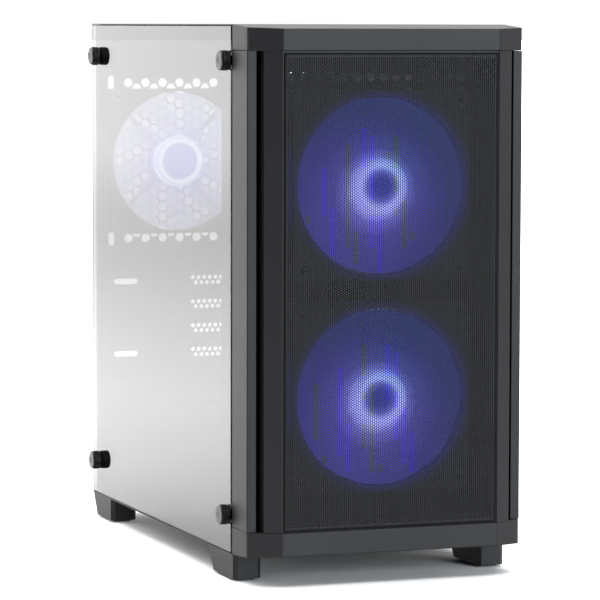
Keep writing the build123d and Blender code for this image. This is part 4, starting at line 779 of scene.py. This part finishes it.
for name, stops, hub, sweep, clear in (
        ("front_fan_upper", FAN_GLOW, 21 * MM, (-0.95, (0.3, 1.3, 0.9), 0.35), (0.0, 0.0)),
        ("front_fan_lower", FAN_GLOW, 21 * MM, (-1.1, (0.3, 1.3, 0.9), 0.35), (0.0, 0.0)),
        ("rear_fan", REAR_GLOW, 20.5 * MM, (-0.5, (0.9, 1.0, 1.0), 0.0), (0.65, 0.37))):
    node = f"{name}_rotor"
    low, high = box(node)
    centre = (low + high) / 2
    tip = (high[0] - low[0] + high[2] - low[2]) / 4
    glow = lit(f"{name}_glow", node, (1, 0, 1), tip, stops, sweep, clear)
    hub_centre = np.array([centre[0], low[1], centre[2]])
    shape = fan_shape(hub_centre, hub, tip, high[1] - low[1])
    piece(f"{name}_blades", shape, node, glow, [node])
    if stops is FAN_GLOW:
        halo = lit(f"{name}_halo", node, (1, 0, 1), HALO_REACH, HALO, (0.0, (1, 1, 1), 0.0), (0.0, 0.0))
        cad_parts[f"{name}_frame"].data.materials[0] = halo


# ---------------------------------------------------------------- thumbscrews
GLASS_HEAD = 7.5 * MM           # length of a head, on the glass and on the steel side
SIDE_HEAD = 8.0 * MM
SHANK_RADIUS = 1.9 * MM
KNURL_TEETH = 34
KNURL_DEPTH = 0.45 * MM
KNURL_SLANT = 1500              # radians of groove phase per metre along the axis
FACE_RINGS = 19                 # turned rings on a head's face


def knurl(teeth, depth, start, end, slant):
    """Change of radius that cuts crossed grooves into a band between two distances along the axis."""
    fade = 0.4 * MM
    def cut(angle, along):
        left = np.abs(np.sin((angle * teeth + along * slant) / 2))
        right = np.abs(np.sin((angle * teeth - along * slant) / 2))
        inside = np.clip((along - start) / fade, 0, 1) * np.clip((end - along) / fade, 0, 1)
        return -depth * (1 - np.minimum(left, right)) * inside
    return cut


def thumbscrew(node, axis):
    """A knurled head with a bright turned face: shank, shoulder, knurled band, rings and a dimple."""
    low, high = box(node)
    axis = np.array(axis, float)
    along = int(np.argmax(np.abs(axis)))
    out = high if axis[along] > 0 else low
    inner = low if axis[along] > 0 else high
    others = [k for k in range(3) if k != along]
    radius = (high[others[0]] - low[others[0]]) / 2
    total = abs(out[along] - inner[along])
    head = GLASS_HEAD if along == 0 else SIDE_HEAD
    seat = (low + high) / 2
    seat[along] = out[along] - axis[along] * head
    band = np.linspace(1.2 * MM, head - 1.0 * MM, 18)
    point = head - total
    profile = [(point, 1.5 * MM), (point + 0.6 * MM, SHANK_RADIUS), (0.0, SHANK_RADIUS),
               (0.0, radius * 0.72), (0.7 * MM, radius * 0.74), (0.9 * MM, radius * 0.96)]
    profile += [(a, radius) for a in band]
    profile += [(head - 0.6 * MM, radius * 0.97), (head - 0.25 * MM, radius * 0.93),
                (head - 0.25 * MM, radius * 0.5)]
    name = node.replace("glass_screw", "thumbscrew").replace("side_screw", "rear_thumbscrew")
    cut = knurl(KNURL_TEETH, KNURL_DEPTH, 1.0 * MM, head - 0.9 * MM, KNURL_SLANT)
    head_shape = lathe(profile, seat, axis, 6 * KNURL_TEETH, cut)
    piece(f"{name}_head", head_shape, node, BLACK_OXIDE, [node])
    rings = np.linspace(0.9, 0.34, FACE_RINGS)
    groove = np.where(np.arange(FACE_RINGS) % 2, 0.05, 0.0) * MM
    face = [(head - 0.6 * MM, radius * 0.9), (head - 0.15 * MM, radius * 0.915)]
    face += [(head - g, radius * r) for r, g in zip(rings, groove)]
    face += [(head - 0.55 * MM, radius * 0.30), (head - 0.9 * MM, radius * 0.16),
             (head - 1.0 * MM, radius * 0.03)]
    piece(f"{name}_face", lathe(face, seat, axis, 96), node, TURNED_STEEL)


for end in ("front", "rear"):
    for side in ("upper", "lower"):
        thumbscrew(f"glass_screw_{end}_{side}", (-1, 0, 0))
for side in ("upper", "lower"):
    thumbscrew(f"side_screw_{side}", (0, 1, 0))


# ---------------------------------------------------------------- roof filter cloth
def filter_cloth():
    """The roof filter's cloth: a thin sheet of six-sided cells just below the top of its CAD piece."""
    pitch = 3.2 * MM
    hole = 2.3 * MM
    thick = 0.4 * MM
    low, high = box("top_filter_mesh")
    counts = cell_counts((low[0], low[1]), (high[0], high[1]), pitch)
    points, quads, caps = punched(*counts, pitch, hole, "z", thick)
    points[:, 2] += high[2] - 0.05 * MM
    piece("filter_cloth", (points, quads, caps), "top_filter", CLOTH,
          ["top_filter_mesh"], crease=0)


filter_cloth()


# ---------------------------------------------------------------- floor, light and camera
FLOOR_HALF = 80.0               # half the floor's side, in metres


def stage_plane(name, half, z, finish):
    """A square level plane that is only for the picture."""
    corners = [(-half, -half, z), (half, -half, z), (half, half, z), (-half, half, z)]
    mesh = bpy.data.meshes.new(name)
    mesh.from_pydata(corners, [], [(0, 1, 2, 3)])
    mesh.materials.append(finish)
    made = bpy.data.objects.new(name, mesh)
    bpy.context.scene.collection.objects.link(made)


def soft_light(name, place, aim, size, power, colour=(1, 1, 1)):
    """A rectangular lamp at a place, turned to face a point."""
    lamp = bpy.data.lights.new(name, "AREA")
    lamp.shape = "RECTANGLE"
    lamp.size, lamp.size_y = size
    lamp.energy = power
    lamp.color = colour
    made = bpy.data.objects.new(name, lamp)
    bpy.context.scene.collection.objects.link(made)
    made.location = place
    made.rotation_euler = (Vector(aim) - Vector(place)).to_track_quat("-Z", "Y").to_euler()


def stretch(tree, value, start, end, height):
    """A smooth rise from 0 at start to height at end."""
    rise = tree.nodes.new("ShaderNodeMapRange")
    rise.interpolation_type = "SMOOTHSTEP"
    rise.inputs["From Min"].default_value = start
    rise.inputs["From Max"].default_value = end
    rise.inputs["To Max"].default_value = height
    tree.links.new(value, rise.inputs["Value"])
    return rise.outputs["Result"]


def studio_floor():
    """White floor that glows towards the rear and left, and to the horizon for the camera alone.

    along is the distance towards the rear and left. In reflections, the floor ahead of the tower is dim."""
    reflected_dim = 0.18
    seen_white = 0.9
    made, tree, shader, position = material("studio_floor")
    shader.inputs["Roughness"].default_value = 0.9
    shader.inputs["Specular IOR Level"].default_value = 0.1
    parts = tree.nodes.new("ShaderNodeSeparateXYZ")
    tree.links.new(position, parts.inputs["Vector"])
    back = math_node(tree, "MULTIPLY", parts.outputs["Y"], 0.85)
    left = math_node(tree, "MULTIPLY", parts.outputs["X"], -0.53)
    along = math_node(tree, "ADD", back, left)
    ahead = math_node(tree, "ADD", stretch(tree, along, -1.3, -0.1, 0.72), reflected_dim)
    direct = tree.nodes.new("ShaderNodeLightPath").outputs["Is Camera Ray"]
    white = math_node(tree, "MAXIMUM", ahead, math_node(tree, "MULTIPLY", direct, seen_white))
    tree.links.new(white, shader.inputs["Base Color"])
    near = stretch(tree, along, -0.1, 1.2, 1.15)
    far = stretch(tree, along, 1.2, 9.0, 1.15)
    away = tree.nodes.new("ShaderNodeVectorMath")
    away.operation = "LENGTH"
    tree.links.new(position, away.inputs[0])
    horizon = math_node(tree, "MULTIPLY", stretch(tree, away.outputs["Value"], 0.9, 4.0, 1.0), direct)
    glow = math_node(tree, "ADD", math_node(tree, "ADD", near, far), horizon)
    tree.links.new(glow, shader.inputs["Emission Strength"])
    shader.inputs["Emission Color"].default_value = (1, 1, 1, 1)
    return made


def studio():
    """A white sweep, bright to the rear and left where the glass reflects it, and dim behind the viewer."""
    scene = bpy.context.scene
    world = bpy.data.worlds.new("studio")
    scene.world = world
    world.use_nodes = True
    tree = world.node_tree
    tree.nodes.clear()
    end = tree.nodes.new("ShaderNodeOutputWorld")
    seen = tree.nodes.new("ShaderNodeBackground")
    seen.inputs["Color"].default_value = (1, 1, 1, 1)
    seen.inputs["Strength"].default_value = 1.0
    around = tree.nodes.new("ShaderNodeBackground")
    direction = tree.nodes.new("ShaderNodeTexCoord").outputs["Generated"]
    toward = tree.nodes.new("ShaderNodeVectorMath")
    toward.operation = "DOT_PRODUCT"
    tree.links.new(direction, toward.inputs[0])
    toward.inputs[1].default_value = (-0.30, 0.95, 0.0)
    half = math_node(tree, "MULTIPLY", toward.outputs["Value"], 0.5)
    share = math_node(tree, "ADD", half, 0.5)
    bright = ramp(tree, share, [(0.0, (0.014, 0.014, 0.014)), (0.35, (0.026, 0.026, 0.028)),
                                (0.65, (0.26, 0.26, 0.26)), (1.0, (1, 1, 1))])
    tree.links.new(bright, around.inputs["Color"])
    around.inputs["Strength"].default_value = 2.7
    path = tree.nodes.new("ShaderNodeLightPath")
    mix = tree.nodes.new("ShaderNodeMixShader")
    tree.links.new(path.outputs["Is Camera Ray"], mix.inputs["Fac"])
    tree.links.new(around.outputs["Background"], mix.inputs[1])
    tree.links.new(seen.outputs["Background"], mix.inputs[2])
    tree.links.new(mix.outputs["Shader"], end.inputs["Surface"])
    stage_plane("floor", FLOOR_HALF, 0.0, studio_floor())
    soft_light("overhead", (0.1, 0.0, 2.6), (0.1, 0.0, 0), (3.0, 3.0), 150)
    soft_light("rear_left", (-1.5, 1.3, 2.2), (-0.4, 0.1, 0), (2.0, 2.0), 30)
    soft_light("front_right", (1.15, -3.1, 0.55), (0, 0, 0.25), (1.3, 1.5), 120, (0.86, 0.94, 1.0))
    soft_light("right_fill", (2.6, -0.75, 0.9), (0, 0, 0.2), (1.4, 1.4), 24)
    scene.view_settings.view_transform = "Standard"
    scene.view_settings.look = "None"
    scene.cycles.use_denoising = True


def camera():
    """A long lens at the front left, level with the roof, turned to the right and tipped down a little."""
    yaw = math.radians(19.99)
    tip = math.radians(4.68)
    roll = math.radians(0.13)
    place = Vector((CENTRE_X - 0.90513, FRONT - 2.2908, 0.4108))
    forward = Vector((math.sin(yaw) * math.cos(tip), math.cos(yaw) * math.cos(tip), -math.sin(tip)))
    right = Vector((math.cos(yaw), -math.sin(yaw), 0.0))
    up = right.cross(forward)
    right_rolled = right * math.cos(roll) + up * math.sin(roll)
    up_rolled = up * math.cos(roll) - right * math.sin(roll)
    lens = bpy.data.cameras.new("camera")
    lens.sensor_width = 36.0
    lens.lens = 201.97
    lens.clip_end = 100.0
    made = bpy.data.objects.new("camera", lens)
    bpy.context.scene.collection.objects.link(made)
    turned = Matrix((right_rolled, up_rolled, -forward)).transposed().to_4x4()
    made.matrix_world = Matrix.Translation(place) @ turned
    bpy.context.scene.camera = made


studio()
camera()
